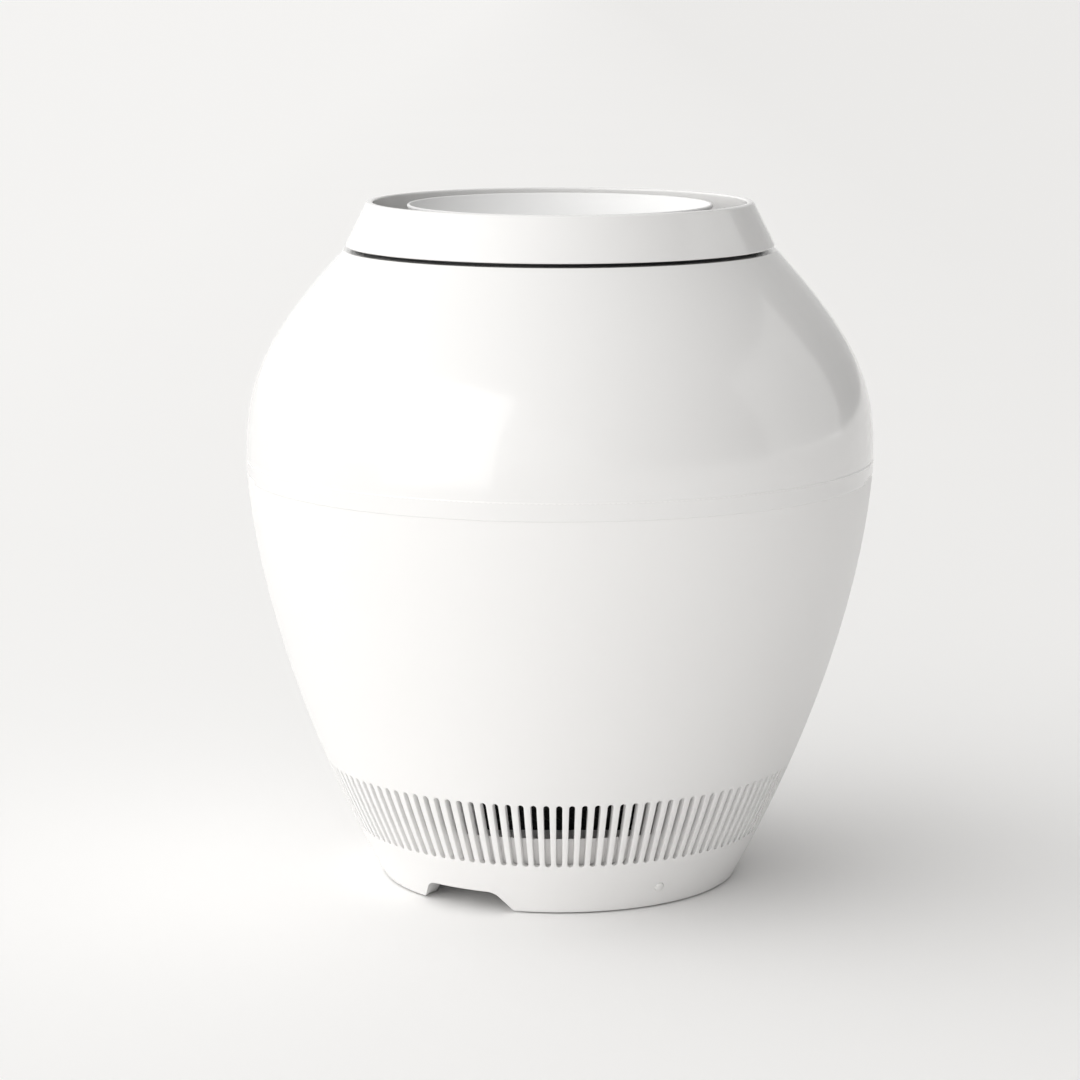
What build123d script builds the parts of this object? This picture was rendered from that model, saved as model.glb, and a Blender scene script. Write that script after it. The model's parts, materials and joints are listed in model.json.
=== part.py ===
from build123d import *
import os
from math import atan2, cos, degrees, radians, sin, sqrt

# Jar-shaped air purifier. Millimetres, +Z up, front towards -Y.
# The origin is the centre of the vessel on the surface that it stands on.
# Azimuths are degrees from the front, growing towards +X.

os.makedirs("parts", exist_ok=True)

# ---------------------------------------------------------------- driving sizes
# Outer vessel: two curves that meet at the waist with a common vertical tangent.
base_radius = 111.4
base_lean = 28.4
base_pull_share = 0.60
waist_radius = 195.4
waist_height = 267.0
waist_pull_below_share = 0.073
waist_pull_above_share = 0.338
mouth_radius = 133.8
mouth_height = 394.2
mouth_lean = -42.8
mouth_pull_share = 0.622

# Shells
lower_wall = 3.2
upper_wall = 3.2
slot_band_wall = 5.0
seam_gap = 0.7
seam_rise = 0.3
gasket_recess = 0.6
rest_gap = 0.2
fit_gap = 0.4

# Foot and base
foot_clearance = 1.0
foot_width = 11.5
foot_height = 14.0
base_plate_thickness = 2.5
compartment_height = 13.0
floor_thickness = 2.5

# Intake slots
slot_count = 120
slot_width = 3.6
slot_length = 42.7
slot_sill = 0.8
slot_band_margin = 7.5
tray_rim_height = 19.2
tray_rim_wall = 1.6

# Cable notch
notch_azimuth = -30.8
notch_bottom_width = 65.4
notch_top_width = 47.4
notch_height = 13.3
notch_corner = 9.0

# Finger grips in the upper shell's rim
grip_height = 2.7
grip_half_angle = 18.0

# Power button
button_azimuth = 30.75
button_height = 14.6
button_diameter = 6.0
button_running_gap = 0.05
button_travel = 1.0
button_proud = 1.8
button_round = 1.5

# Filter cartridge
filter_side = 154.0
filter_height = 213.0
filter_frame_height = 10.0
carbon_thickness = 5.0
pleat_thickness = 24.0
filter_gasket_height = 5.8

# Fan
deck_thickness = 3.0
throat_radius = 70.0
bell_round = 12.0
bell_wall = 2.5
impeller_radius = 106.0
impeller_depth = 48.0
blade_count = 9
blade_thickness = 2.0
shaft_radius = 4.0
shaft_running_gap = 0.03
bearing_radius = 11.0
bearing_width = 7.0
stator_teeth = 12
air_gap = 1.0

# Motor bowl and outlet
bowl_skirt_radius = 60.0
hub_radius = 92.0
bowl_wall = 2.5
vane_count = 11
sleeve_radius = 121.6
sleeve_wall = 2.7
grille_height = 3.0
grille_spokes = 36
grille_bar = 2.0
grille_spoke = 1.6

# Crown ring and dish
ring_gap = 2.3
ring_height = 27.2
ring_bottom_radius = 133.7
ring_top_radius = 119.4
ring_bore_radius = 115.6
ring_wall = 3.2
dish_radius = 95.2
dish_wall = 2.4
dish_depth = 30.0
dish_below_crest = 1.7

# Screws: thread radius, head radius, head height
small_screw = (1.2, 2.3, 1.6)
medium_screw = (1.5, 2.9, 2.0)
large_screw = (1.9, 3.6, 2.5)
hole_slack = 0.25
head_round_share = 0.45
recess_width_share = 0.28
recess_depth_share = 0.6


# ---------------------------------------------------------------- helpers
def vessel_curve(start, start_lean, start_share, end, end_lean, end_share, inset):
    """Four control points of a vessel curve moved inward by inset; leans are from vertical."""
    rise = end[1] - start[1]
    chord = sqrt((end[0] - start[0]) ** 2 + rise**2)
    bend_radius = chord / (2 * sin(radians(abs(end_lean - start_lean)) / 2))
    shrink = 1 - inset / bend_radius
    points = []
    for (radius, height), lean, pull in (
        (start, start_lean, start_share * rise * shrink),
        (end, end_lean, -end_share * rise * shrink),
    ):
        angle = radians(lean)
        anchor = (radius - inset * cos(angle), height + inset * sin(angle))
        handle = (anchor[0] + pull * sin(angle), anchor[1] + pull * cos(angle))
        points.append((anchor, handle))
    return [points[0][0], points[0][1], points[1][1], points[1][0]]


def lower_curve(inset):
    """Lower vessel curve, from the floor line up to the waist."""
    return vessel_curve(
        (base_radius, 0), base_lean, base_pull_share,
        (waist_radius, waist_height), 0, waist_pull_below_share, inset,
    )


def upper_curve(inset):
    """Upper vessel curve, from the waist up to the mouth."""
    return vessel_curve(
        (waist_radius, waist_height), 0, waist_pull_above_share,
        (mouth_radius, mouth_height), mouth_lean, mouth_pull_share, inset,
    )


def curve_point(points, share):
    """Point of a cubic curve at a share of its parameter."""
    weights = (
        (1 - share) ** 3,
        3 * (1 - share) ** 2 * share,
        3 * (1 - share) * share**2,
        share**3,
    )
    radius = sum(weight * point[0] for weight, point in zip(weights, points))
    height = sum(weight * point[1] for weight, point in zip(weights, points))
    return radius, height


def share_at(points, height):
    """Curve parameter at a height, found by halving."""
    low, high = 0.0, 1.0
    for _ in range(40):
        middle = (low + high) / 2
        if curve_point(points, middle)[1] < height:
            low = middle
        else:
            high = middle
    return low


def radius_at(points, height):
    """Radius of a curve at a height."""
    return curve_point(points, share_at(points, height))[0]


def lean_at(points, height):
    """Lean of a curve from vertical at a height, in degrees."""
    share = share_at(points, height)
    step = 0.001
    below = curve_point(points, max(share - step, 0))
    above = curve_point(points, min(share + step, 1))
    return degrees(atan2(above[0] - below[0], above[1] - below[1]))


def vessel_slice(curve, inset, low, high):
    """Solid inside a vessel curve moved inward by inset, between two heights."""
    points = curve(inset)
    with BuildPart() as slice_part:
        with BuildSketch(Plane.XZ):
            with BuildLine():
                Bezier(*points)
                Polyline(points[3], (0, points[3][1]), (0, points[0][1]), points[0])
            make_face()
        revolve(axis=Axis.Z)
        with BuildSketch(Plane.XY.offset(low)):
            Circle(2 * waist_radius)
        extrude(amount=high - low, mode=Mode.INTERSECT)
    return slice_part.part


def outward(azimuth):
    """Unit vector that points away from the axis at an azimuth."""
    return Vector(sin(radians(azimuth)), -cos(radians(azimuth)), 0)


def facing_plane(azimuth, radius=0.0, height=0.0):
    """Upright plane that faces outward: x runs along the rim and y up."""
    direction = outward(azimuth)
    origin = direction * radius + Vector(0, 0, height)
    return Plane(origin=origin, x_dir=direction.rotate(Axis.Z, 90), z_dir=direction)


def section_plane(azimuth):
    """Upright plane through the axis: x runs outward and y up."""
    direction = outward(azimuth)
    return Plane(origin=(0, 0, 0), x_dir=direction, z_dir=direction.cross(Vector(0, 0, 1)))


def ring_outline(inner, outer, low, high):
    """Rectangle of a ring's section, drawn on a plane through the axis."""
    with Locations(((inner + outer) / 2, (low + high) / 2)):
        Rectangle(outer - inner, high - low)


def make_screw(sizes, length, head_at_top=True):
    """Cross-recess screw that points down from z = 0, the underside of its head."""
    thread, head, head_height = sizes
    with BuildPart() as screw:
        with BuildSketch(Plane.XY):
            Circle(head)
        extrude(amount=head_height)
        fillet(screw.edges().sort_by(Axis.Z)[-1], head_height * head_round_share)
        with BuildSketch(Plane.XY):
            Circle(thread)
        extrude(amount=-length)
        with BuildSketch(Plane.XY.offset(head_height)):
            Rectangle(head, head * recess_width_share)
            Rectangle(head * recess_width_share, head)
        extrude(amount=-head_height * recess_depth_share, mode=Mode.SUBTRACT)
    if head_at_top:
        return screw.part
    return screw.part.rotate(Axis.X, 180)


def finish(builder, label):
    """Label a finished piece and write it to its own file."""
    builder.part.label = label
    export_step(builder.part, "parts/" + label + ".step")


# ---------------------------------------------------------------- levels
seam_low = waist_height - seam_rise
seam_high = seam_low + gasket_recess + seam_gap - seam_rise
foot_top = foot_clearance + foot_height
plate_top = foot_top + base_plate_thickness
floor_low = plate_top + compartment_height
floor_top = floor_low + floor_thickness
slot_low = floor_top + slot_sill
slot_middle = slot_low + slot_length / 2
slot_band_top = slot_low + slot_length + slot_band_margin
filter_low = floor_top + rest_gap
filter_top = filter_low + filter_height
gasket_top = filter_top + filter_gasket_height
deck_low = gasket_top + rest_gap
deck_top = deck_low + deck_thickness
throat_top = deck_low + bell_round + deck_thickness
impeller_low = throat_top + 2.0
backplate_top = impeller_low + impeller_depth + blade_thickness
rotor_disc_top = backplate_top + 3.0
bearing_low = rotor_disc_top + 3.0
motor_tube_low = rotor_disc_top + 2.0
motor_flange_low = bearing_low + 26.0
motor_flange_top = motor_flange_low + 3.0
grommet_height = 3.0
bowl_floor_low = motor_flange_top + grommet_height
bowl_floor_top = bowl_floor_low + 3.0
ring_bottom = mouth_height + ring_gap
crest = ring_bottom + ring_height
dish_rim = crest - dish_below_crest
dish_floor_low = dish_rim - dish_depth - dish_wall
hub_cover_top = dish_floor_low - 2.8
hub_cover_low = hub_cover_top - 2.8
vane_top = hub_cover_low - 0.7
vane_low = vane_top - 14.0
sleeve_inner = sleeve_radius - sleeve_wall
sleeve_top = crest - 13.4
sleeve_neck = mouth_height - 10.0
flare = (29.2, 32.2)
flare_tip = (44.2, 48.2)
sleeve_low = sleeve_neck - flare_tip[1]

# ---------------------------------------------------------------- lower shell
recess_radius = base_radius - foot_width
slot_inner_radius = radius_at(lower_curve(slot_band_wall), slot_low) - 4.0
slot_outer_radius = waist_radius
base_screw_radius = recess_radius + 6.5
base_screw_count = 6
foot_pad_depth = 1.5
foot_pad_inner = recess_radius + 3.0
foot_pad_outer = base_radius - 3.4
foot_pad_angle = 18.0

outer_body = vessel_slice(lower_curve, 0, foot_clearance, seam_low)
band_cavity = vessel_slice(lower_curve, slot_band_wall, foot_top, slot_band_top)
body_cavity = vessel_slice(lower_curve, lower_wall, slot_band_top, waist_height)

with BuildPart() as slot_tool:
    with BuildSketch(Plane.XZ.offset(slot_inner_radius)):
        with Locations((0, slot_middle)):
            SlotOverall(slot_length, slot_width, rotation=90)
    extrude(amount=slot_outer_radius - slot_inner_radius)

with BuildPart() as notch_tool:
    with BuildSketch(facing_plane(notch_azimuth, recess_radius - 4.0)):
        with BuildLine():
            Polyline(
                (-notch_bottom_width / 2, -foot_clearance),
                (-notch_bottom_width / 2, 0),
                (-notch_top_width / 2, notch_height),
                (notch_top_width / 2, notch_height),
                (notch_bottom_width / 2, 0),
                (notch_bottom_width / 2, -foot_clearance),
                close=True,
            )
        notch_face = make_face()
        fillet(notch_face.vertices().group_by(Axis.Y)[-1], notch_corner)
    extrude(amount=foot_width + notch_height + 12.0)

# The button stands square to the wall, which leans outward as it rises.
button_lean = lean_at(lower_curve(0), button_height)
button_normal = outward(button_azimuth) * cos(radians(button_lean))
button_normal = button_normal - Vector(0, 0, sin(radians(button_lean)))
button_origin = outward(button_azimuth) * radius_at(lower_curve(0), button_height)
button_plane = Plane(
    origin=button_origin + Vector(0, 0, button_height),
    x_dir=outward(button_azimuth).rotate(Axis.Z, 90),
    z_dir=button_normal,
)
pocket_side = 12.0
pocket_depth = 20.0

with BuildPart() as button_pocket:
    with BuildSketch(button_plane.offset(-slot_band_wall)):
        Rectangle(pocket_side, pocket_side)
    extrude(amount=-pocket_depth)

with BuildPart() as foot_pads:
    for index in range(6):
        with BuildSketch(section_plane(index * 60 - foot_pad_angle / 2)):
            ring_outline(foot_pad_inner, foot_pad_outer, 0, foot_clearance + foot_pad_depth)
        revolve(axis=Axis.Z, revolution_arc=foot_pad_angle)
finish(foot_pads, "rubber_feet")

with BuildPart() as lower_shell:
    add(outer_body)
    add(band_cavity, mode=Mode.SUBTRACT)
    add(body_cavity, mode=Mode.SUBTRACT)
    with BuildSketch(Plane.XY):
        Circle(recess_radius)
    extrude(amount=foot_top + 1.0, mode=Mode.SUBTRACT)
    add(notch_tool.part, mode=Mode.SUBTRACT)
    add(button_pocket.part, mode=Mode.SUBTRACT)
    add(foot_pads.part, mode=Mode.SUBTRACT)
    with BuildSketch(button_plane.offset(2 * button_proud)):
        Circle(button_diameter / 2 + button_running_gap)
    extrude(amount=-(slot_band_wall + 3 * button_proud), mode=Mode.SUBTRACT)
    with BuildSketch(Plane.XY.offset(foot_top)):
        with PolarLocations(base_screw_radius, base_screw_count, start_angle=-90):
            Circle(medium_screw[0])
    extrude(amount=-8.0, mode=Mode.SUBTRACT)
    with PolarLocations(0, slot_count):
        add(slot_tool.part, mode=Mode.SUBTRACT)
finish(lower_shell, "lower_shell")

with BuildPart() as waist_gasket:
    with BuildSketch(Plane.XZ):
        ring_outline(
            waist_radius - lower_wall + gasket_recess / 2,
            waist_radius - gasket_recess,
            seam_low,
            seam_high - rest_gap,
        )
    revolve(axis=Axis.Z)
finish(waist_gasket, "waist_gasket")

# ---------------------------------------------------------------- base plate
plate_radius = radius_at(lower_curve(slot_band_wall), foot_top) - fit_gap
post_spread = 36.0
post_radius = 4.5
board_width = 60.0
board_length = 90.0
board_centre = 30.0
board_thickness = 1.6
board_stand = 3.0
board_low = plate_top + board_stand
board_top = board_low + board_thickness
board_hole_inset = 4.0
rib_height = 3.0
rib_width = 2.0
rib_ring_radius = 72.0
switch_notch_inner = recess_radius + hole_slack
switch_notch_outer = plate_radius + rib_width
switch_notch_width = pocket_side + 2 * hole_slack
inlet_radius = 62.0
inlet_width = 26.0
inlet_depth = 18.0
inlet_height = 12.0
inlet_neck_depth = 8.0
inlet_neck_width = 16.0
inlet_neck_rise = 5.0
inlet_low = foot_top - inlet_height
inlet_middle = inlet_low + inlet_height / 2

with BuildPart() as inlet_neck:
    with BuildSketch(facing_plane(notch_azimuth, inlet_radius - inlet_depth, foot_top)):
        with Locations((0, (base_plate_thickness + inlet_neck_rise) / 2)):
            Rectangle(inlet_neck_width, base_plate_thickness + inlet_neck_rise)
    extrude(amount=inlet_neck_depth)

with BuildPart() as base_plate:
    with BuildSketch(Plane.XY.offset(foot_top)):
        Circle(plate_radius)
    extrude(amount=base_plate_thickness)
    with BuildSketch(Plane.XY.offset(plate_top)):
        with GridLocations(2 * post_spread, 2 * post_spread, 2, 2):
            Circle(post_radius)
            Circle(medium_screw[0], mode=Mode.SUBTRACT)
    extrude(amount=compartment_height)
    with BuildSketch(Plane.XY.offset(plate_top)):
        with Locations((0, board_centre)):
            with GridLocations(
                board_width - 2 * board_hole_inset, board_length - 2 * board_hole_inset, 2, 2
            ):
                Circle(small_screw[1])
                Circle(small_screw[0], mode=Mode.SUBTRACT)
    extrude(amount=board_stand)
    with BuildSketch(Plane.XY.offset(foot_top)):
        Circle(rib_ring_radius + rib_width)
        Circle(rib_ring_radius, mode=Mode.SUBTRACT)
        with PolarLocations((rib_ring_radius + recess_radius) / 2, 6, start_angle=-90):
            Rectangle(recess_radius - rib_ring_radius - rib_width, rib_width)
    extrude(amount=-rib_height)
    with BuildSketch(Plane.XY.offset(plate_top)):
        with PolarLocations(base_screw_radius, base_screw_count, start_angle=-90):
            Circle(medium_screw[0] + hole_slack)
    extrude(amount=-base_plate_thickness, mode=Mode.SUBTRACT)
    with BuildSketch(Plane.XY.offset(plate_top)):
        with PolarLocations(
            (switch_notch_inner + switch_notch_outer) / 2, 1, start_angle=button_azimuth - 90
        ):
            Rectangle(switch_notch_outer - switch_notch_inner, switch_notch_width)
    extrude(amount=-base_plate_thickness, mode=Mode.SUBTRACT)
    add(inlet_neck.part, mode=Mode.SUBTRACT)
finish(base_plate, "base_plate")

base_screw = make_screw(medium_screw, base_plate_thickness + 7.0)
with BuildPart() as base_screws:
    with Locations((0, 0, plate_top)):
        with PolarLocations(base_screw_radius, base_screw_count, start_angle=-90):
            add(base_screw)
finish(base_screws, "base_screws")

# ---------------------------------------------------------------- power inlet
pin_radius = 1.2
pin_spacing = 8.6
socket_width = 17.6
socket_height = 9.4
socket_depth = 10.0

with BuildPart() as inlet_pins:
    for side in (-1, 1):
        with BuildSketch(facing_plane(notch_azimuth, inlet_radius - inlet_depth + 2.0, inlet_middle)):
            with Locations((side * pin_spacing / 2, 0)):
                Circle(pin_radius)
        extrude(amount=inlet_depth - 4.0)
        with BuildSketch(facing_plane(notch_azimuth, inlet_radius - inlet_depth + 2.0, inlet_middle)):
            with Locations((side * pin_spacing / 2, (plate_top + 8.0 - inlet_middle) / 2)):
                Rectangle(2 * pin_radius, plate_top + 8.0 - inlet_middle)
        extrude(amount=1.5)
finish(inlet_pins, "inlet_pins")

with BuildPart() as power_inlet:
    with BuildSketch(facing_plane(notch_azimuth, inlet_radius - inlet_depth, inlet_middle)):
        RectangleRounded(inlet_width, inlet_height, 1.5)
    extrude(amount=inlet_depth)
    add(inlet_neck.part)
    with BuildSketch(facing_plane(notch_azimuth, inlet_radius, inlet_middle)):
        SlotOverall(socket_width, socket_height)
    extrude(amount=-socket_depth, mode=Mode.SUBTRACT)
    add(inlet_pins.part, mode=Mode.SUBTRACT)
finish(power_inlet, "power_inlet")

# ---------------------------------------------------------------- electronics in the base
with BuildPart() as power_board:
    with BuildSketch(Plane.XY.offset(board_low)):
        with Locations((0, board_centre)):
            Rectangle(board_width, board_length)
            with GridLocations(
                board_width - 2 * board_hole_inset, board_length - 2 * board_hole_inset, 2, 2
            ):
                Circle(small_screw[0] + hole_slack, mode=Mode.SUBTRACT)
    extrude(amount=board_thickness)
finish(power_board, "power_board")

board_screw = make_screw(small_screw, board_thickness + board_stand - 0.6)
with BuildPart() as board_screws:
    with Locations((0, board_centre, board_top)):
        with GridLocations(
            board_width - 2 * board_hole_inset, board_length - 2 * board_hole_inset, 2, 2
        ):
            add(board_screw)
finish(board_screws, "board_screws")

component_height = floor_low - board_top - 0.8
with BuildPart() as power_components:
    with BuildSketch(Plane.XY.offset(board_top)):
        with Locations((-12, board_centre + 8)):
            RectangleRounded(24, 22, 1.0)
        with Locations((16, board_centre + 22)):
            Rectangle(12, 14)
        with Locations((14, board_centre - 22)):
            Rectangle(16, 10)
    extrude(amount=component_height)
    with BuildSketch(Plane.XY.offset(board_top)):
        with Locations((-16, board_centre - 14), (-4, board_centre - 14), (14, board_centre + 2)):
            Circle(5.0)
    extrude(amount=component_height)
finish(power_components, "power_components")

sensor_width = 38.0
sensor_depth = 35.0
sensor_height = compartment_height - 1.0
sensor_offset = 72.0
sampling_radius = 2.5
with BuildPart() as air_sensor:
    with BuildSketch(Plane.XY.offset(plate_top)):
        with Locations((sensor_offset, 0)):
            RectangleRounded(sensor_width, sensor_depth, 1.5)
    extrude(amount=sensor_height)
    with BuildSketch(Plane.XY.offset(plate_top + sensor_height)):
        with Locations((filter_side / 2 + 8.0, 0)):
            Circle(sampling_radius)
    extrude(amount=-6.0, mode=Mode.SUBTRACT)
finish(air_sensor, "air_sensor")

# ---------------------------------------------------------------- power button
flange_height = 1.2
flange_radius = 4.1
stem_radius = 1.5
stem_length = 2.4
plunger_radius = 1.6
plunger_length = 2.2
plunger_gap = 0.2
switch_side = 6.2
switch_height = 4.4
plunger_top = -(slot_band_wall + flange_height + stem_length)
switch_top = plunger_top - button_travel - plunger_gap

with BuildPart() as button_cap:
    with BuildSketch(button_plane.offset(button_proud)):
        Circle(button_diameter / 2)
    extrude(amount=-(slot_band_wall + button_proud))
    fillet(button_cap.faces().sort_by(Axis(button_plane.origin, button_normal))[-1].edges(), button_round)
    with BuildSketch(button_plane.offset(-slot_band_wall)):
        Circle(flange_radius)
    extrude(amount=-flange_height)
    with BuildSketch(button_plane.offset(-slot_band_wall - flange_height)):
        Circle(stem_radius)
    extrude(amount=-stem_length)
finish(button_cap, "button_cap")

with BuildPart() as switch_plunger:
    with BuildSketch(button_plane.offset(plunger_top)):
        Circle(plunger_radius)
    extrude(amount=-plunger_length)
finish(switch_plunger, "switch_plunger")

with BuildPart() as button_switch:
    with BuildSketch(button_plane.offset(switch_top)):
        Rectangle(switch_side, switch_side)
    extrude(amount=-switch_height)
    with BuildSketch(button_plane.offset(switch_top)):
        Circle(plunger_radius + 2 * button_running_gap)
    extrude(amount=-(plunger_length + plunger_gap), mode=Mode.SUBTRACT)
finish(button_switch, "button_switch")

with BuildPart() as button_board:
    with BuildSketch(button_plane.offset(switch_top - switch_height)):
        Rectangle(pocket_side, pocket_side)
    extrude(amount=-1.2)
finish(button_board, "button_board")

# ---------------------------------------------------------------- intake floor
locator_outer = filter_side / 2 - carbon_thickness - pleat_thickness - 1.5
locator_wall = 2.0
locator_height = 6.0
duct_azimuth = 180.0
duct_angle = 6.0
duct_depth = 9.0
duct_skin = 1.5
tray_rim_top = floor_top + tray_rim_height
floor_solid = vessel_slice(lower_curve, slot_band_wall + fit_gap, floor_low, tray_rim_top)
floor_hollow = vessel_slice(
    lower_curve, slot_band_wall + fit_gap + tray_rim_wall, floor_top, tray_rim_top
)
duct_room = (duct_angle + 1.0) / 2

with BuildPart() as duct_notch:
    with BuildSketch(section_plane(duct_azimuth - duct_room)):
        ring_outline(
            radius_at(lower_curve(slot_band_wall), floor_low) - duct_depth - 2.0,
            waist_radius,
            floor_low - 1.0,
            tray_rim_top + 1.0,
        )
    revolve(axis=Axis.Z, revolution_arc=2 * duct_room)

with BuildPart() as intake_floor:
    add(floor_solid)
    add(floor_hollow, mode=Mode.SUBTRACT)
    with BuildSketch(Plane.XY.offset(floor_top)):
        Rectangle(2 * locator_outer, 2 * locator_outer)
        Rectangle(
            2 * (locator_outer - locator_wall), 2 * (locator_outer - locator_wall),
            mode=Mode.SUBTRACT,
        )
    extrude(amount=locator_height)
    with BuildSketch(Plane.XY.offset(floor_top)):
        with GridLocations(2 * post_spread, 2 * post_spread, 2, 2):
            Circle(medium_screw[0] + hole_slack)
    extrude(amount=-floor_thickness, mode=Mode.SUBTRACT)
    with BuildSketch(Plane.XY.offset(floor_top)):
        with Locations((filter_side / 2 + 8.0, 0)):
            Circle(sampling_radius)
    extrude(amount=-floor_thickness, mode=Mode.SUBTRACT)
    add(duct_notch.part, mode=Mode.SUBTRACT)
finish(intake_floor, "intake_floor")

floor_screw = make_screw(medium_screw, floor_thickness + 7.0)
with BuildPart() as floor_screws:
    with Locations((0, 0, floor_top)):
        with GridLocations(2 * post_spread, 2 * post_spread, 2, 2):
            add(floor_screw)
finish(floor_screws, "floor_screws")


# ---------------------------------------------------------------- wire ducts and ribbon cables
def wall_strip(curve, near, far, low, high, azimuth, angle):
    """Strip that follows a vessel curve, between two depths inside it."""
    with BuildPart() as strip:
        add(vessel_slice(curve, near, low, high))
        add(vessel_slice(curve, far, low - 1.0, high + 1.0), mode=Mode.SUBTRACT)
        with BuildSketch(Plane.XY.offset(low)):
            with BuildLine():
                reach = 2 * waist_radius
                sides = [outward(azimuth + turn) * reach for turn in (-angle / 2, angle / 2)]
                Polyline((0, 0), (sides[0].X, sides[0].Y), (sides[1].X, sides[1].Y), close=True)
            make_face()
        extrude(amount=high - low, mode=Mode.INTERSECT)
    return strip.part


duct_high = waist_height - 28.0
ribbon_near = slot_band_wall + 1.5
ribbon_far = ribbon_near + 2.0
duct_body = wall_strip(
    lower_curve, slot_band_wall, slot_band_wall + duct_depth, plate_top + 2.0, duct_high,
    duct_azimuth, duct_angle,
)
duct_hollow = wall_strip(
    lower_curve, slot_band_wall - 1.0, slot_band_wall + duct_depth - duct_skin, plate_top, duct_high,
    duct_azimuth, duct_angle - 1.2,
)
with BuildPart() as wire_duct:
    add(duct_body)
    add(duct_hollow, mode=Mode.SUBTRACT)
finish(wire_duct, "wire_duct")

with BuildPart() as ribbon_cable:
    add(wall_strip(
        lower_curve, ribbon_near, ribbon_far, plate_top + 3.0, duct_high, duct_azimuth,
        duct_angle / 2,
    ))
finish(ribbon_cable, "ribbon_cable")

# ---------------------------------------------------------------- power contacts at the seam
contact_width = 26.0
contact_depth = 18.0
contact_height = 11.0
contact_outer = radius_at(lower_curve(lower_wall), duct_high) - 0.5
contact_pitch = 5.0
contact_count = 4
contact_pin_radius = 1.2
contact_middle = contact_outer - contact_depth / 2
lower_contact_top = deck_low - rest_gap - 0.6

with BuildPart() as lower_contact_pads:
    with BuildSketch(Plane.XY.offset(lower_contact_top)):
        with Locations((0, contact_middle)):
            with GridLocations(contact_pitch, 0, contact_count, 1):
                Rectangle(2 * contact_pin_radius, 3 * contact_pin_radius)
    extrude(amount=-2.0)
finish(lower_contact_pads, "lower_contact_pads")

with BuildPart() as lower_contact_block:
    with BuildSketch(Plane.XY.offset(lower_contact_top)):
        with Locations((0, contact_middle)):
            Rectangle(contact_width, contact_depth)
    extrude(amount=-contact_height)
    fillet(lower_contact_block.edges().filter_by(Axis.Z).group_by(Axis.Y)[0], 2.0)
    add(lower_contact_pads.part, mode=Mode.SUBTRACT)
finish(lower_contact_block, "lower_contact_block")

upper_block_width = contact_width - 4.0
upper_block_depth = contact_depth - 6.0
upper_block_height = 10.0
with BuildPart() as upper_contact_pins:
    with BuildSketch(Plane.XY.offset(lower_contact_top + rest_gap)):
        with Locations((0, contact_middle)):
            with GridLocations(contact_pitch, 0, contact_count, 1):
                Circle(contact_pin_radius)
    extrude(amount=upper_block_height + 3.0)
finish(upper_contact_pins, "upper_contact_pins")

with BuildPart() as upper_contact_block:
    with BuildSketch(Plane.XY.offset(deck_low)):
        with Locations((0, contact_middle)):
            RectangleRounded(upper_block_width, upper_block_depth, 1.5)
    extrude(amount=upper_block_height)
    add(upper_contact_pins.part, mode=Mode.SUBTRACT)
finish(upper_contact_block, "upper_contact_block")

# ---------------------------------------------------------------- upper shell
mouth_bore = sleeve_radius + 0.7
boss_count = 6
boss_start = -60.0
boss_radius = 4.5
boss_offset = radius_at(upper_curve(upper_wall), waist_height + 20) - 14.0
rim_top = seam_high + grip_height + 0.6
boss_top = rim_top + 14.0

shell_room = vessel_slice(upper_curve, upper_wall / 2, seam_high, mouth_height)
with BuildPart() as boss_webs:
    with BuildSketch(Plane.XY.offset(rim_top)):
        with PolarLocations((boss_offset + waist_radius) / 2, boss_count, start_angle=boss_start):
            Rectangle(waist_radius - boss_offset, 3.0)
    extrude(amount=boss_top - rim_top)
    add(shell_room, mode=Mode.INTERSECT)

with BuildPart() as upper_shell:
    add(vessel_slice(upper_curve, 0, seam_high, mouth_height))
    add(vessel_slice(upper_curve, upper_wall, seam_high - 2.0, mouth_height), mode=Mode.SUBTRACT)
    with BuildSketch(Plane.XY.offset(mouth_height)):
        Circle(mouth_bore)
    extrude(amount=-4 * upper_wall, mode=Mode.SUBTRACT)
    fillet(upper_shell.edges().filter_by(GeomType.CIRCLE).group_by(Axis.Z)[-1].sort_by(SortBy.RADIUS)[-1], 0.9)
    with BuildSketch(Plane.XY.offset(deck_top)):
        with PolarLocations(boss_offset, boss_count, start_angle=boss_start):
            Circle(boss_radius)
    extrude(amount=boss_top - deck_top)
    add(boss_webs.part)
    with BuildSketch(Plane.XY.offset(deck_top)):
        with PolarLocations(boss_offset, boss_count, start_angle=boss_start):
            Circle(medium_screw[0])
    extrude(amount=10.0, mode=Mode.SUBTRACT)
    for side in (-90, 90):
        with BuildSketch(Plane.XY.offset(seam_high)):
            with BuildLine():
                start, stop = [
                    outward(side + turn) * 2 * waist_radius
                    for turn in (-grip_half_angle, grip_half_angle)
                ]
                Polyline((0, 0), (start.X, start.Y), (stop.X, stop.Y), close=True)
            make_face()
        extrude(amount=grip_height, mode=Mode.SUBTRACT)
finish(upper_shell, "upper_shell")

# ---------------------------------------------------------------- inlet deck and guard
spigot_radius = radius_at(lower_curve(lower_wall), deck_low) - 0.8
spigot_wall = 2.5
bell_centre = (throat_radius + bell_round, deck_low + bell_round)

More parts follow.
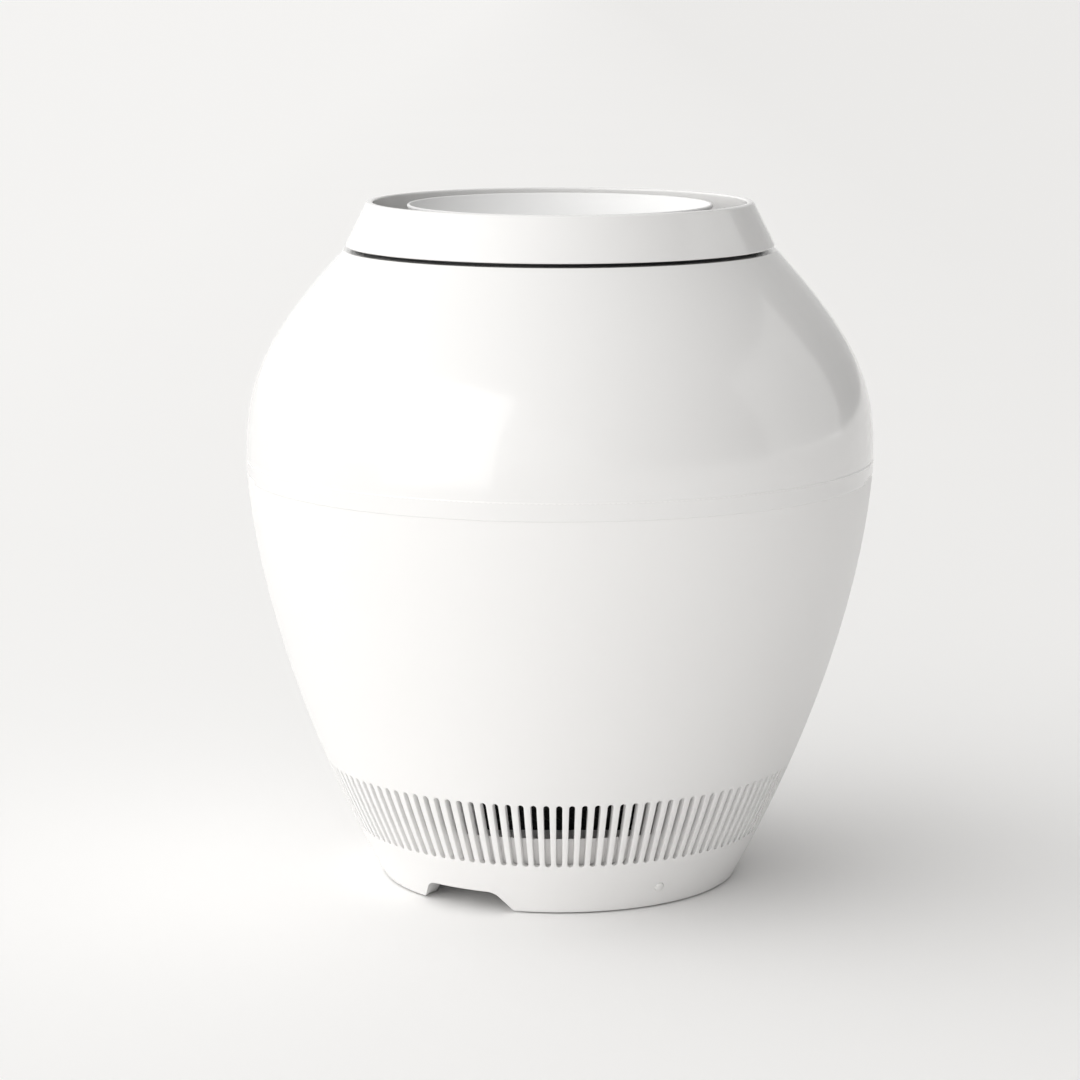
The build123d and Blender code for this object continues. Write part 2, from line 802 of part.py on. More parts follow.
with BuildPart() as inlet_deck:
    with BuildSketch(Plane.XZ):
        ring_outline(bell_centre[0], spigot_radius, deck_low, deck_top)
        ring_outline(spigot_radius - spigot_wall, spigot_radius, deck_low, rim_top)
        with BuildLine():
            CenterArc(bell_centre, bell_round, 180, 90)
            Line((bell_centre[0], deck_low), (bell_centre[0], deck_low + bell_wall))
            CenterArc(bell_centre, bell_round - bell_wall, 180, 90)
            Line(
                (throat_radius + bell_wall, bell_centre[1]),
                (throat_radius, bell_centre[1]),
            )
        make_face()
        ring_outline(throat_radius, throat_radius + bell_wall, bell_centre[1], throat_top)
    revolve(axis=Axis.Z)
    with BuildSketch(Plane.XY.offset(deck_low)):
        with PolarLocations(boss_offset, boss_count, start_angle=boss_start):
            Circle(medium_screw[0] + hole_slack)
    extrude(amount=deck_thickness, mode=Mode.SUBTRACT)
    with BuildSketch(Plane.XY.offset(deck_low)):
        with Locations((0, contact_middle)):
            RectangleRounded(upper_block_width, upper_block_depth, 1.5)
    extrude(amount=deck_thickness, mode=Mode.SUBTRACT)
finish(inlet_deck, "inlet_deck")

deck_screw = make_screw(medium_screw, deck_thickness + 8.0, head_at_top=False)
with BuildPart() as deck_screws:
    with Locations((0, 0, deck_low)):
        with PolarLocations(boss_offset, boss_count, start_angle=boss_start):
            add(deck_screw)
finish(deck_screws, "deck_screws")

guard_bar = 2.0
guard_rings = 3
guard_spokes = 6
guard_pitch = throat_radius / (guard_rings + 1)
guard_low = throat_top - guard_bar - 0.5
with BuildPart() as inlet_guard:
    with BuildSketch(Plane.XY.offset(guard_low)):
        Circle(throat_radius)
        Circle(throat_radius - guard_bar, mode=Mode.SUBTRACT)
        for ring in range(guard_rings, 0, -1):
            ring_radius = ring * guard_pitch
            Circle(ring_radius + guard_bar / 2)
            Circle(ring_radius - guard_bar / 2, mode=Mode.SUBTRACT)
        with PolarLocations((guard_pitch + throat_radius - guard_bar / 2) / 2, guard_spokes):
            Rectangle(throat_radius - guard_bar / 2 - guard_pitch, guard_bar)
    extrude(amount=guard_bar)
finish(inlet_guard, "inlet_guard")

# ---------------------------------------------------------------- impeller
eye_radius = throat_radius + 0.5
shroud_wall = 2.0
shroud_rise = 8.0
blade_inner = 56.0
hub_boss_radius = 14.0
hub_boss_length = 18.0
backplate_low = backplate_top - blade_thickness


def shroud_line(lift):
    """Two ends of the shroud's cone, lifted by an amount."""
    return (eye_radius, impeller_low + lift), (impeller_radius, impeller_low + shroud_rise + lift)


with BuildPart() as impeller:
    with BuildSketch(Plane.XY.offset(impeller_low)):
        for index in range(blade_count):
            lead = index * 360 / blade_count
            with BuildLine(Plane.XY):
                ends = [
                    (radius * cos(radians(lead + sweep)), radius * sin(radians(lead + sweep)))
                    for radius, sweep in ((blade_inner, 0), (impeller_radius - 1.0, 48))
                ]
                blade_arc = RadiusArc(ends[0], ends[1], -95)
            trace(blade_arc, line_width=blade_thickness)
    extrude(amount=backplate_low - impeller_low)
    with BuildSketch(Plane.XZ):
        with BuildLine():
            inner_end, outer_end = shroud_line(shroud_wall)
            Polyline(
                (0, impeller_low - 1.0), (0, impeller_low + shroud_wall), inner_end, outer_end,
                (2 * impeller_radius, outer_end[1]), (2 * impeller_radius, impeller_low - 1.0),
                close=True,
            )
        make_face()
    revolve(axis=Axis.Z, mode=Mode.SUBTRACT)
    with BuildSketch(Plane.XY.offset(backplate_low)):
        Circle(impeller_radius)
    extrude(amount=blade_thickness)
    with BuildSketch(Plane.XY.offset(backplate_low)):
        Circle(hub_boss_radius)
    extrude(amount=-hub_boss_length, taper=8)
    with BuildSketch(Plane.XY.offset(backplate_top)):
        Circle(shaft_radius)
    extrude(amount=-hub_boss_length - blade_thickness, mode=Mode.SUBTRACT)
finish(impeller, "impeller")

with BuildPart() as impeller_shroud:
    with BuildSketch(Plane.XZ):
        with BuildLine():
            low_inner, low_outer = shroud_line(0)
            high_inner, high_outer = shroud_line(shroud_wall)
            Polyline(low_inner, low_outer, high_outer, high_inner, close=True)
        make_face()
    revolve(axis=Axis.Z)
finish(impeller_shroud, "impeller_shroud")

# ---------------------------------------------------------------- motor
tube_wall = 2.5
stator_inner = bearing_radius + tube_wall
stator_yoke = stator_inner + 5.5
stator_outer = 30.5
tooth_width = 3.4
tooth_head = 2.2
tooth_root = 1.0
stator_low = rotor_disc_top + 5.0
stator_high = stator_low + 15.0
winding_reach = 2.5
winding_width = 8.4
magnet_inner = stator_outer + air_gap
magnet_outer = magnet_inner + 3.0
bell_outer = magnet_outer + 2.5
bell_top = stator_high + winding_reach + 1.5
motor_flange_radius = 36.0
motor_bolt_radius = 30.0
nut_height = 5.0
shaft_low = backplate_low - hub_boss_length - nut_height - 1.0
shaft_high = motor_flange_low - 1.0

with BuildPart() as motor_shaft:
    with BuildSketch(Plane.XY.offset(shaft_low)):
        Circle(shaft_radius)
    extrude(amount=shaft_high - shaft_low)
    chamfer(motor_shaft.edges().filter_by(GeomType.CIRCLE), 0.5)
finish(motor_shaft, "motor_shaft")

with BuildPart() as hub_nut:
    with BuildSketch(Plane.XY.offset(backplate_low - hub_boss_length)):
        RegularPolygon(8.0, 6)
        Circle(shaft_radius, mode=Mode.SUBTRACT)
    extrude(amount=-nut_height)
finish(hub_nut, "hub_nut")

with BuildPart() as rotor_bell:
    with BuildSketch(Plane.XZ):
        ring_outline(shaft_radius, bell_outer, backplate_top, rotor_disc_top)
        ring_outline(magnet_outer, bell_outer, rotor_disc_top, bell_top)
    revolve(axis=Axis.Z)
finish(rotor_bell, "rotor_bell")

with BuildPart() as rotor_magnets:
    with BuildSketch(Plane.XZ):
        ring_outline(magnet_inner, magnet_outer, rotor_disc_top + 1.0, bell_top - 1.0)
    revolve(axis=Axis.Z)
finish(rotor_magnets, "rotor_magnets")

with BuildPart() as bearings:
    with BuildSketch(Plane.XZ):
        for low in (bearing_low, motor_flange_top - bearing_width):
            ring_outline(shaft_radius + shaft_running_gap, bearing_radius, low, low + bearing_width)
    revolve(axis=Axis.Z)
finish(bearings, "bearings")

with BuildPart() as motor_base:
    with BuildSketch(Plane.XZ):
        ring_outline(bearing_radius, stator_inner, motor_tube_low, motor_flange_top)
        ring_outline(bearing_radius, motor_flange_radius, motor_flange_low, motor_flange_top)
    revolve(axis=Axis.Z)
    with BuildSketch(Plane.XY.offset(motor_flange_low)):
        with PolarLocations(motor_bolt_radius, 4, start_angle=45):
            Circle(large_screw[0])
    extrude(amount=motor_flange_top - motor_flange_low, mode=Mode.SUBTRACT)
finish(motor_base, "motor_base")

with BuildPart() as stator_core:
    with BuildSketch(Plane.XY.offset(stator_low)):
        Circle(stator_outer)
        Circle(stator_outer - tooth_head, mode=Mode.SUBTRACT)
        with PolarLocations(stator_outer, stator_teeth, start_angle=180 / stator_teeth):
            Rectangle(4 * tooth_head, tooth_width, mode=Mode.SUBTRACT)
        Circle(stator_yoke)
        with PolarLocations((stator_yoke + stator_outer) / 2 - tooth_root, stator_teeth):
            Rectangle(stator_outer - stator_yoke, tooth_width)
        Circle(stator_inner, mode=Mode.SUBTRACT)
    extrude(amount=stator_high - stator_low)
finish(stator_core, "stator_core")

with BuildPart() as stator_windings:
    with BuildSketch(Plane.XY.offset(stator_low - winding_reach)):
        winding_middle = (stator_yoke + stator_outer - tooth_head) / 2
        with PolarLocations(winding_middle, stator_teeth):
            RectangleRounded(stator_outer - tooth_head - stator_yoke - 1.4, winding_width, 1.2)
    extrude(amount=stator_high - stator_low + 2 * winding_reach)
    add(stator_core.part, mode=Mode.SUBTRACT)
finish(stator_windings, "stator_windings")

# ---------------------------------------------------------------- motor bowl
skirt_low = backplate_top + 4.0
cone_low = skirt_low + 8.0
cone_high = vane_low - 2.0
cone_slope = (hub_radius - bowl_skirt_radius) / (cone_high - cone_low)
cone_thickness = bowl_wall * sqrt(1 + cone_slope**2)
floor_reach = bowl_skirt_radius + cone_slope * (bowl_floor_low - cone_low) - cone_thickness / 2
cover_post_offset = floor_reach - 10.0
cover_post_radius = 4.0

with BuildPart() as motor_bowl:
    with BuildSketch(Plane.XZ):
        with BuildLine():
            Polyline(
                (bowl_skirt_radius, skirt_low),
                (bowl_skirt_radius, cone_low),
                (hub_radius, cone_high),
                (hub_radius, hub_cover_low),
                (hub_radius - bowl_wall, hub_cover_low),
                (hub_radius - bowl_wall, cone_high + 1.0),
                (bowl_skirt_radius - bowl_wall, cone_low + 1.0),
                (bowl_skirt_radius - bowl_wall, skirt_low),
                close=True,
            )
        make_face()
        ring_outline(bearing_radius, floor_reach, bowl_floor_low, bowl_floor_top)
    revolve(axis=Axis.Z)
    with BuildSketch(Plane.XY.offset(bowl_floor_top)):
        with PolarLocations(cover_post_offset, 4):
            Circle(cover_post_radius)
            Circle(medium_screw[0], mode=Mode.SUBTRACT)
    extrude(amount=hub_cover_low - bowl_floor_top)
    with BuildSketch(Plane.XY.offset(bowl_floor_low)):
        with PolarLocations(motor_bolt_radius, 4, start_angle=45):
            Circle(large_screw[0] + hole_slack)
    extrude(amount=bowl_floor_top - bowl_floor_low, mode=Mode.SUBTRACT)
finish(motor_bowl, "motor_bowl")

with BuildPart() as motor_grommets:
    with BuildSketch(Plane.XY.offset(motor_flange_top)):
        with PolarLocations(motor_bolt_radius, 4, start_angle=45):
            Circle(5.5)
            Circle(large_screw[0] + hole_slack, mode=Mode.SUBTRACT)
    extrude(amount=grommet_height)
finish(motor_grommets, "motor_grommets")

motor_screw = make_screw(large_screw, bowl_floor_top - motor_flange_low)
with BuildPart() as motor_screws:
    with Locations((0, 0, bowl_floor_top)):
        with PolarLocations(motor_bolt_radius, 4, start_angle=45):
            add(motor_screw)
finish(motor_screws, "motor_screws")

control_radius = 44.0
control_low = bowl_floor_top + 5.0
with BuildPart() as control_board:
    with BuildSketch(Plane.XY.offset(control_low)):
        Circle(control_radius)
    extrude(amount=board_thickness)
    with BuildSketch(Plane.XY.offset(control_low + board_thickness)):
        Rectangle(12, 12)
        with Locations((22, 10)):
            Rectangle(14, 8)
        with Locations((-20, -14)):
            Rectangle(10, 16)
    extrude(amount=2.0)
    with BuildSketch(Plane.XY.offset(control_low)):
        with PolarLocations(control_radius - 5.0, 3, start_angle=90):
            Circle(3.0)
    extrude(amount=bowl_floor_top - control_low)
finish(control_board, "control_board")

# ---------------------------------------------------------------- hub cover
cover_lip = 4.0
dish_foot_radius = 52.0
dish_foot_width = 3.0
seat_ridge_width = 2.0

with BuildPart() as hub_cover:
    with BuildSketch(Plane.XZ):
        ring_outline(0, hub_radius, hub_cover_low, hub_cover_top)
        ring_outline(
            hub_radius - bowl_wall - fit_gap - 2.0, hub_radius - bowl_wall - fit_gap,
            hub_cover_low - cover_lip, hub_cover_low,
        )
        ring_outline(
            dish_foot_radius + fit_gap, dish_foot_radius + fit_gap + seat_ridge_width,
            hub_cover_top, hub_cover_top + 1.4,
        )
    revolve(axis=Axis.Z)
    with BuildSketch(Plane.XY.offset(hub_cover_top)):
        with PolarLocations(cover_post_offset, 4):
            Circle(medium_screw[1] + hole_slack)
    extrude(amount=-medium_screw[2], mode=Mode.SUBTRACT)
    with BuildSketch(Plane.XY.offset(hub_cover_top)):
        with PolarLocations(cover_post_offset, 4):
            Circle(medium_screw[0] + hole_slack)
    extrude(amount=hub_cover_low - hub_cover_top, mode=Mode.SUBTRACT)
finish(hub_cover, "hub_cover")

cover_screw = make_screw(medium_screw, 9.0)
with BuildPart() as cover_screws:
    with Locations((0, 0, hub_cover_top - medium_screw[2])):
        with PolarLocations(cover_post_offset, 4):
            add(cover_screw)
finish(cover_screws, "cover_screws")

# ---------------------------------------------------------------- guide vanes, sleeve and grille
vane_ring_wall = 2.4
vane_tilt = 32.0
flange_top = mouth_height - 2.4
flange_reach = 5.4

with BuildPart() as guide_vane_ring:
    with BuildSketch(Plane.XZ):
        ring_outline(hub_radius, hub_radius + vane_ring_wall, vane_low, vane_top)
        ring_outline(sleeve_inner - vane_ring_wall, sleeve_inner, vane_low, vane_top)
    revolve(axis=Axis.Z)
    for index in range(vane_count):
        vane_plane = facing_plane(index * 360 / vane_count, hub_radius + 1.0, (vane_low + vane_top) / 2)
        with BuildSketch(vane_plane):
            Rectangle(2.0, vane_top - vane_low - 1.0, rotation=vane_tilt)
        extrude(amount=sleeve_inner - hub_radius - 2.0)
finish(guide_vane_ring, "guide_vane_ring")

with BuildPart() as outlet_sleeve:
    with BuildSketch(Plane.XZ):
        with BuildLine():
            Polyline(
                (sleeve_inner, sleeve_top),
                (sleeve_radius, sleeve_top),
                (sleeve_radius, flange_top),
                (sleeve_radius + flange_reach, flange_top),
                (sleeve_radius + flange_reach, flange_top - 2.5),
                (sleeve_radius, flange_top - 2.5),
                (sleeve_radius, sleeve_neck + 1.0),
                (sleeve_radius + flare[0], sleeve_neck + 1.6 - flare[1]),
                (sleeve_radius + flare_tip[0], sleeve_neck + 1.6 - flare_tip[1]),
                (sleeve_inner + flare_tip[0] + 0.9, sleeve_neck - flare_tip[1]),
                (sleeve_inner + flare[0], sleeve_neck - flare[1]),
                (sleeve_inner, sleeve_neck),
                close=True,
            )
        make_face()
    revolve(axis=Axis.Z)
finish(outlet_sleeve, "outlet_sleeve")

grille_mid = (hub_radius + sleeve_inner) / 2
with BuildPart() as outlet_grille:
    with BuildSketch(Plane.XY.offset(vane_top)):
        for radius in (sleeve_inner - grille_bar / 2, grille_mid, hub_radius + fit_gap + grille_bar / 2):
            Circle(radius + grille_bar / 2)
            Circle(radius - grille_bar / 2, mode=Mode.SUBTRACT)
        with PolarLocations(grille_mid, grille_spokes):
            Rectangle(sleeve_inner - hub_radius - fit_gap - grille_bar, grille_spoke)
    extrude(amount=grille_height)
finish(outlet_grille, "outlet_grille")

upper_duct_low = boss_top
upper_duct_high = sleeve_low - 2.0
upper_duct_body = wall_strip(
    upper_curve, upper_wall, upper_wall + duct_depth, upper_duct_low, upper_duct_high,
    duct_azimuth, duct_angle,
)
upper_duct_hollow = wall_strip(
    upper_curve, upper_wall - 1.0, upper_wall + duct_depth - duct_skin, upper_duct_low - 1.0,
    upper_duct_high + 1.0, duct_azimuth, duct_angle - 1.2,
)
with BuildPart() as upper_wire_duct:
    add(upper_duct_body)
    add(upper_duct_hollow, mode=Mode.SUBTRACT)
finish(upper_wire_duct, "upper_wire_duct")

with BuildPart() as upper_ribbon_cable:
    add(wall_strip(
        upper_curve, upper_wall + 1.5, upper_wall + 3.5, upper_duct_low, upper_duct_high,
        duct_azimuth, duct_angle / 2,
    ))
finish(upper_ribbon_cable, "upper_ribbon_cable")

# ---------------------------------------------------------------- crown ring
cone_drop = (ring_bottom_radius - ring_top_radius) / ring_height
cone_skin = ring_wall * sqrt(1 + cone_drop**2)
bore_wall = 2.5
ceiling = crest - 10.0
bore_bottom = ring_bottom + 1.5
seat_height = ceiling - sleeve_top - rest_gap


def ring_radius(height):
    """Outer radius of the crown's cone at a height."""
    return ring_bottom_radius - cone_drop * (height - ring_bottom)


with BuildPart() as top_ring:
    with BuildSketch(Plane.XZ) as ring_section:
        with BuildLine():
            Polyline(
                (ring_bottom_radius, ring_bottom),
                (ring_top_radius, crest),
                (ring_bore_radius, crest),
                (ring_bore_radius, bore_bottom),
                (ring_bore_radius + bore_wall, bore_bottom),
                (ring_bore_radius + bore_wall, ceiling),
                (ring_radius(ceiling) - cone_skin, ceiling),
                (ring_bottom_radius - cone_skin, ring_bottom),
                close=True,
            )
        make_face()
        fillet(ring_section.vertices().group_by(Axis.Y)[-1].sort_by(Axis.X)[-1], 2.2)
        fillet(ring_section.vertices().group_by(Axis.Y)[-1].sort_by(Axis.X)[0], 1.2)
        fillet(ring_section.vertices().group_by(Axis.Y)[0], 0.7)
    revolve(axis=Axis.Z)
finish(top_ring, "top_ring")

with BuildPart() as ring_seat:
    with BuildSketch(Plane.XZ):
        ring_outline(
            ring_bore_radius + bore_wall, ring_radius(ceiling) - cone_skin,
            ceiling - seat_height, ceiling,
        )
    revolve(axis=Axis.Z)
finish(ring_seat, "ring_seat")

# ---------------------------------------------------------------- dish
dish_inner_radius = dish_radius - dish_wall
dish_floor_top = dish_floor_low + dish_wall

with BuildPart() as dish:
    with BuildSketch(Plane.XZ) as dish_section:
        with BuildLine():
            Bezier(
                (dish_inner_radius, dish_rim),
                (dish_inner_radius - 6.0, dish_rim - 0.62 * dish_depth),
                (0.62 * dish_inner_radius, dish_floor_top),
                (0, dish_floor_top),
            )
            Line((0, dish_floor_top), (0, dish_floor_low))
            Bezier(
                (0, dish_floor_low),
                (0.62 * dish_radius, dish_floor_low),
                (dish_radius - 6.0, dish_rim - 0.66 * dish_depth),
                (dish_radius, dish_rim),
            )
            Line((dish_radius, dish_rim), (dish_inner_radius, dish_rim))
        make_face()
        fillet(dish_section.vertices().group_by(Axis.Y)[-1], 0.42 * dish_wall)
        ring_outline(
            dish_foot_radius - dish_foot_width, dish_foot_radius,
            hub_cover_top + rest_gap, dish_floor_low + 4.0,
        )
    revolve(axis=Axis.Z)
finish(dish, "dish")

# ---------------------------------------------------------------- filter cartridge
core_half = locator_outer + 1.5
carbon_inner = filter_side / 2 - carbon_thickness
pleat_pitch = 8.0
panel_low = filter_low + filter_frame_height
panel_high = filter_top - filter_frame_height
post_wall = 2.5
carbon_recess = 0.6
paper_depth = 2.0
pleat_run = 2 * (carbon_inner - pleat_thickness)
post_side = (filter_side - pleat_run) / 2 - 0.2


def square_ring(outer_half, inner_half):
    """Square ring, drawn on a level plane."""
    Rectangle(2 * outer_half, 2 * outer_half)
    Rectangle(2 * inner_half, 2 * inner_half, mode=Mode.SUBTRACT)


for label, low in (("filter_bottom_frame", filter_low), ("filter_top_frame", panel_high)):
    with BuildPart() as filter_frame:
        with BuildSketch(Plane.XY.offset(low)):
            square_ring(filter_side / 2, core_half)
        extrude(amount=filter_frame_height)
        fillet(filter_frame.edges().filter_by(Axis.Z), 1.5)
    finish(filter_frame, label)

with BuildPart() as filter_corner_posts:
    with BuildSketch(Plane.XY.offset(panel_low)):
        with GridLocations(filter_side - post_side, filter_side - post_side, 2, 2):
            Rectangle(post_side, post_side)
            Rectangle(post_side - 2 * post_wall, post_side - 2 * post_wall, mode=Mode.SUBTRACT)
    extrude(amount=panel_high - panel_low)
finish(filter_corner_posts, "filter_corner_posts")

with BuildPart() as carbon_sheets:
    with BuildSketch(Plane.XY.offset(panel_low)):
        with PolarLocations((filter_side - carbon_thickness - carbon_recess) / 2, 4):
            Rectangle(carbon_thickness - carbon_recess, pleat_run)
    extrude(amount=panel_high - panel_low)
finish(carbon_sheets, "carbon_sheets")

pleat_steps = int(pleat_run // pleat_pitch)
pleat_step = pleat_run / pleat_steps
with BuildPart() as pleat_panel:
    with BuildSketch(Plane.XY.offset(panel_low)):
        with BuildLine():
            outer_zigzag = [
                (
                    -pleat_run / 2 + index * pleat_step / 2,
                    -carbon_inner + (0 if index % 2 else pleat_thickness - paper_depth),
                )
                for index in range(2 * pleat_steps + 1)
            ]
            inner_zigzag = [(x, y + paper_depth) for x, y in reversed(outer_zigzag)]
            Polyline(*outer_zigzag, *inner_zigzag, close=True)
        make_face()
    extrude(amount=panel_high - panel_low)

with BuildPart() as hepa_pleats:
    with PolarLocations(0, 4):
        add(pleat_panel.part)
finish(hepa_pleats, "hepa_pleats")

with BuildPart() as filter_gasket:
    with BuildSketch(Plane.XY.offset(filter_top)):
        square_ring(filter_side / 2 - 2.0, filter_side / 2 - 12.0)
    extrude(amount=filter_gasket_height)
finish(filter_gasket, "filter_gasket")

handle_width = 18.0
with BuildPart() as filter_handle:
    with BuildSketch(Plane.XY.offset(filter_top - 1.0)):
        Rectangle(2 * core_half, handle_width)
    extrude(amount=-5.0)
    fillet(filter_handle.edges().filter_by(Axis.X), 1.8)
finish(filter_handle, "filter_handle")
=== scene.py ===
"""Jar-shaped air purifier: fine shells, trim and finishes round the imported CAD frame.

Metres, +Z up, front towards -Y. Azimuths are in degrees from the front and grow towards +X.
"""

import json
import logging
from dataclasses import dataclass, field
from enum import Enum
from math import asin, atan2, cos, degrees, hypot, pi, radians, sin, sqrt, tau
from typing import Callable, Iterable, Optional, Sequence, Union

import bmesh
import bpy
from mathutils import Matrix, Vector


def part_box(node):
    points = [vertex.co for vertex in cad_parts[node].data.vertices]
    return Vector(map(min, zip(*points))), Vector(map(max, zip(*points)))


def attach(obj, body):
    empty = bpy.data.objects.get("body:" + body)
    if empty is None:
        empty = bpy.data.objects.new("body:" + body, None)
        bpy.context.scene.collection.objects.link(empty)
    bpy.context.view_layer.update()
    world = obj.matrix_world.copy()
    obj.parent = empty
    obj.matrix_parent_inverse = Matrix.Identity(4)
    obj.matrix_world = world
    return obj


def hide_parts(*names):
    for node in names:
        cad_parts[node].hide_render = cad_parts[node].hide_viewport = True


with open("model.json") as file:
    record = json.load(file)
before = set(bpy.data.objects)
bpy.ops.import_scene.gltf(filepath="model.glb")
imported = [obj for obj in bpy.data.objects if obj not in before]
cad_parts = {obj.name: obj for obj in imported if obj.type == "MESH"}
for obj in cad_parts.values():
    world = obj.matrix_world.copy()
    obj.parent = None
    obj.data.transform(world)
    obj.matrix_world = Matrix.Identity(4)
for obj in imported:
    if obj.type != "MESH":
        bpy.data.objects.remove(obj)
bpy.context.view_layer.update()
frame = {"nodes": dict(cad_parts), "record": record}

MM = 0.001
GUARD_SPAN = 4.0 * MM
GUARD_STEP = 0.4 * MM
log = logging.getLogger("air_purifier")

Colour = tuple[float, float, float, float]
Section = list[tuple[float, float]]


class Body(Enum):
    """The bodies that pieces ride on."""

    LOWER = "lower_body"
    FILTER = "filter_cartridge"
    UPPER = "upper_body"
    CROWN = "crown"
    DISH = "dish_body"
    BUTTON = "power_button"


# ---------------------------------------------------------------- node graphs
class Wire:
    """An output socket that can be used in arithmetic; each operation adds a Math node."""

    def __init__(self, graph: "Graph", socket: bpy.types.NodeSocket) -> None:
        """Wrap one output socket of a graph."""
        self.graph = graph
        self.socket = socket

    def _math(self, operation: str, first: "Term", second: "Term") -> "Wire":
        """Add a Math node for two terms and return its result."""
        node = self.graph.node(
            "ShaderNodeMath", {"operation": operation}, {"Value": first, "Value_001": second}
        )
        return self.graph.out(node)

    def __add__(self, other: "Term") -> "Wire":
        """Sum."""
        return self._math("ADD", self, other)

    def __radd__(self, other: "Term") -> "Wire":
        """Sum with the wire on the right."""
        return self._math("ADD", other, self)

    def __sub__(self, other: "Term") -> "Wire":
        """Difference."""
        return self._math("SUBTRACT", self, other)

    def __rsub__(self, other: "Term") -> "Wire":
        """Difference with the wire on the right."""
        return self._math("SUBTRACT", other, self)

    def __mul__(self, other: "Term") -> "Wire":
        """Product."""
        return self._math("MULTIPLY", self, other)

    def __rmul__(self, other: "Term") -> "Wire":
        """Product with the wire on the right."""
        return self._math("MULTIPLY", other, self)

    def __truediv__(self, other: "Term") -> "Wire":
        """Quotient."""
        return self._math("DIVIDE", self, other)

    def __gt__(self, other: "Term") -> "Wire":
        """One where the wire is greater, else nothing."""
        return self._math("GREATER_THAN", self, other)


Term = Union[Wire, float]


class Graph:
    """A shader or geometry node tree that is built node by node."""

    def __init__(self, tree: bpy.types.NodeTree) -> None:
        """Start on an empty tree."""
        self.tree = tree

    def node(
        self, kind: str, settings: Optional[dict] = None, inputs: Optional[dict] = None
    ) -> bpy.types.Node:
        """Add one node.

        Args:
            kind: the node's type.
            settings: attributes that are set first; "stops" holds a ramp's colours.
            inputs: socket identifier or name to a value or a Wire.

        Returns:
            The new node.
        """
        made = self.tree.nodes.new(kind)
        for key, value in (settings or {}).items():
            if key == "stops":
                self._stops(made, value)
            else:
                setattr(made, key, value)
        for key, value in (inputs or {}).items():
            socket = self._socket(made.inputs, key)
            if isinstance(value, Wire):
                self.tree.links.new(value.socket, socket)
            else:
                socket.default_value = value
        return made

    def out(self, node: bpy.types.Node, key: Union[int, str] = 0) -> Wire:
        """Wrap an output of a node, by place or by name."""
        if isinstance(key, int):
            return Wire(self, node.outputs[key])
        return Wire(self, self._socket(node.outputs, key))

    def mix(self, factor: Term, first: Union[Wire, Colour], second: Union[Wire, Colour]) -> Wire:
        """Blend two colours.

        Args:
            factor: share of the second colour.
            first: colour at nothing.
            second: colour at one.

        Returns:
            The blended colour.
        """
        node = self.node(
            "ShaderNodeMix",
            {"data_type": "RGBA"},
            {"Factor_Float": factor, "A_Color": first, "B_Color": second},
        )
        return self.out(node, "Result_Color")

    @staticmethod
    def _socket(sockets: bpy.types.bpy_prop_collection, key: str) -> bpy.types.NodeSocket:
        """Find a socket by its identifier, or else by its name."""
        for socket in sockets:
            if socket.identifier == key:
                return socket
        return sockets[key]

    @staticmethod
    def _stops(node: bpy.types.Node, stops: Sequence[tuple[float, Colour]]) -> None:
        """Set the stops of a colour ramp."""
        ramp = node.color_ramp
        while len(ramp.elements) < len(stops):
            ramp.elements.new(1.0)
        for element, (place, colour) in zip(ramp.elements, stops):
            element.position = place
            element.color = colour


# ---------------------------------------------------------------- finishes
class Surface(Graph):
    """The shader graph of one material, with the textures that finishes share."""

    def __init__(self, name: str) -> None:
        """Make an empty material with an output and object coordinates."""
        self.material = bpy.data.materials.new(name)
        self.material.use_nodes = True
        self.material.node_tree.nodes.clear()
        super().__init__(self.material.node_tree)
        self.place = self.out(self.node("ShaderNodeTexCoord"), "Object")

    def stretched(self, scale: tuple[float, float, float]) -> Wire:
        """Object coordinates stretched by a scale on each axis."""
        node = self.node("ShaderNodeMapping", inputs={"Vector": self.place, "Scale": scale})
        return self.out(node)

    def noise(self, per_metre: float, detail: float = 2.0, place: Optional[Wire] = None) -> Wire:
        """Cloudy noise from nothing to one.

        Args:
            per_metre: features in a metre.
            detail: octaves of finer noise.
            place: coordinates, or None for plain object coordinates.

        Returns:
            The noise value.
        """
        node = self.node(
            "ShaderNodeTexNoise",
            inputs={"Vector": place or self.place, "Scale": per_metre, "Detail": detail},
        )
        return self.out(node)

    def cells(self, per_metre: float) -> Wire:
        """Distance to the nearest of scattered grains."""
        node = self.node("ShaderNodeTexVoronoi", inputs={"Vector": self.place, "Scale": per_metre})
        return self.out(node, "Distance")

    def bands(self, per_metre: float, direction: str) -> Wire:
        """Even waves along one axis."""
        node = self.node(
            "ShaderNodeTexWave",
            {"bands_direction": direction},
            {"Vector": self.place, "Scale": per_metre / tau},
        )
        return self.out(node)

    def relief(self, height: Wire, depth: float, strength: float = 1.0) -> Wire:
        """Normal of a surface raised by a height of nothing to one times a depth in metres."""
        node = self.node(
            "ShaderNodeBump", inputs={"Strength": strength, "Distance": depth, "Height": height}
        )
        return self.out(node)

    def finish(self, **sockets: object) -> bpy.types.Material:
        """Join the shader to the output.

        Args:
            sockets: Principled sockets, with underscores for spaces.

        Returns:
            The finished material.
        """
        inputs = {key.replace("_", " "): value for key, value in sockets.items()}
        shader = self.node("ShaderNodeBsdfPrincipled", inputs=inputs)
        self.node("ShaderNodeOutputMaterial", inputs={"Surface": self.out(shader)})
        return self.material


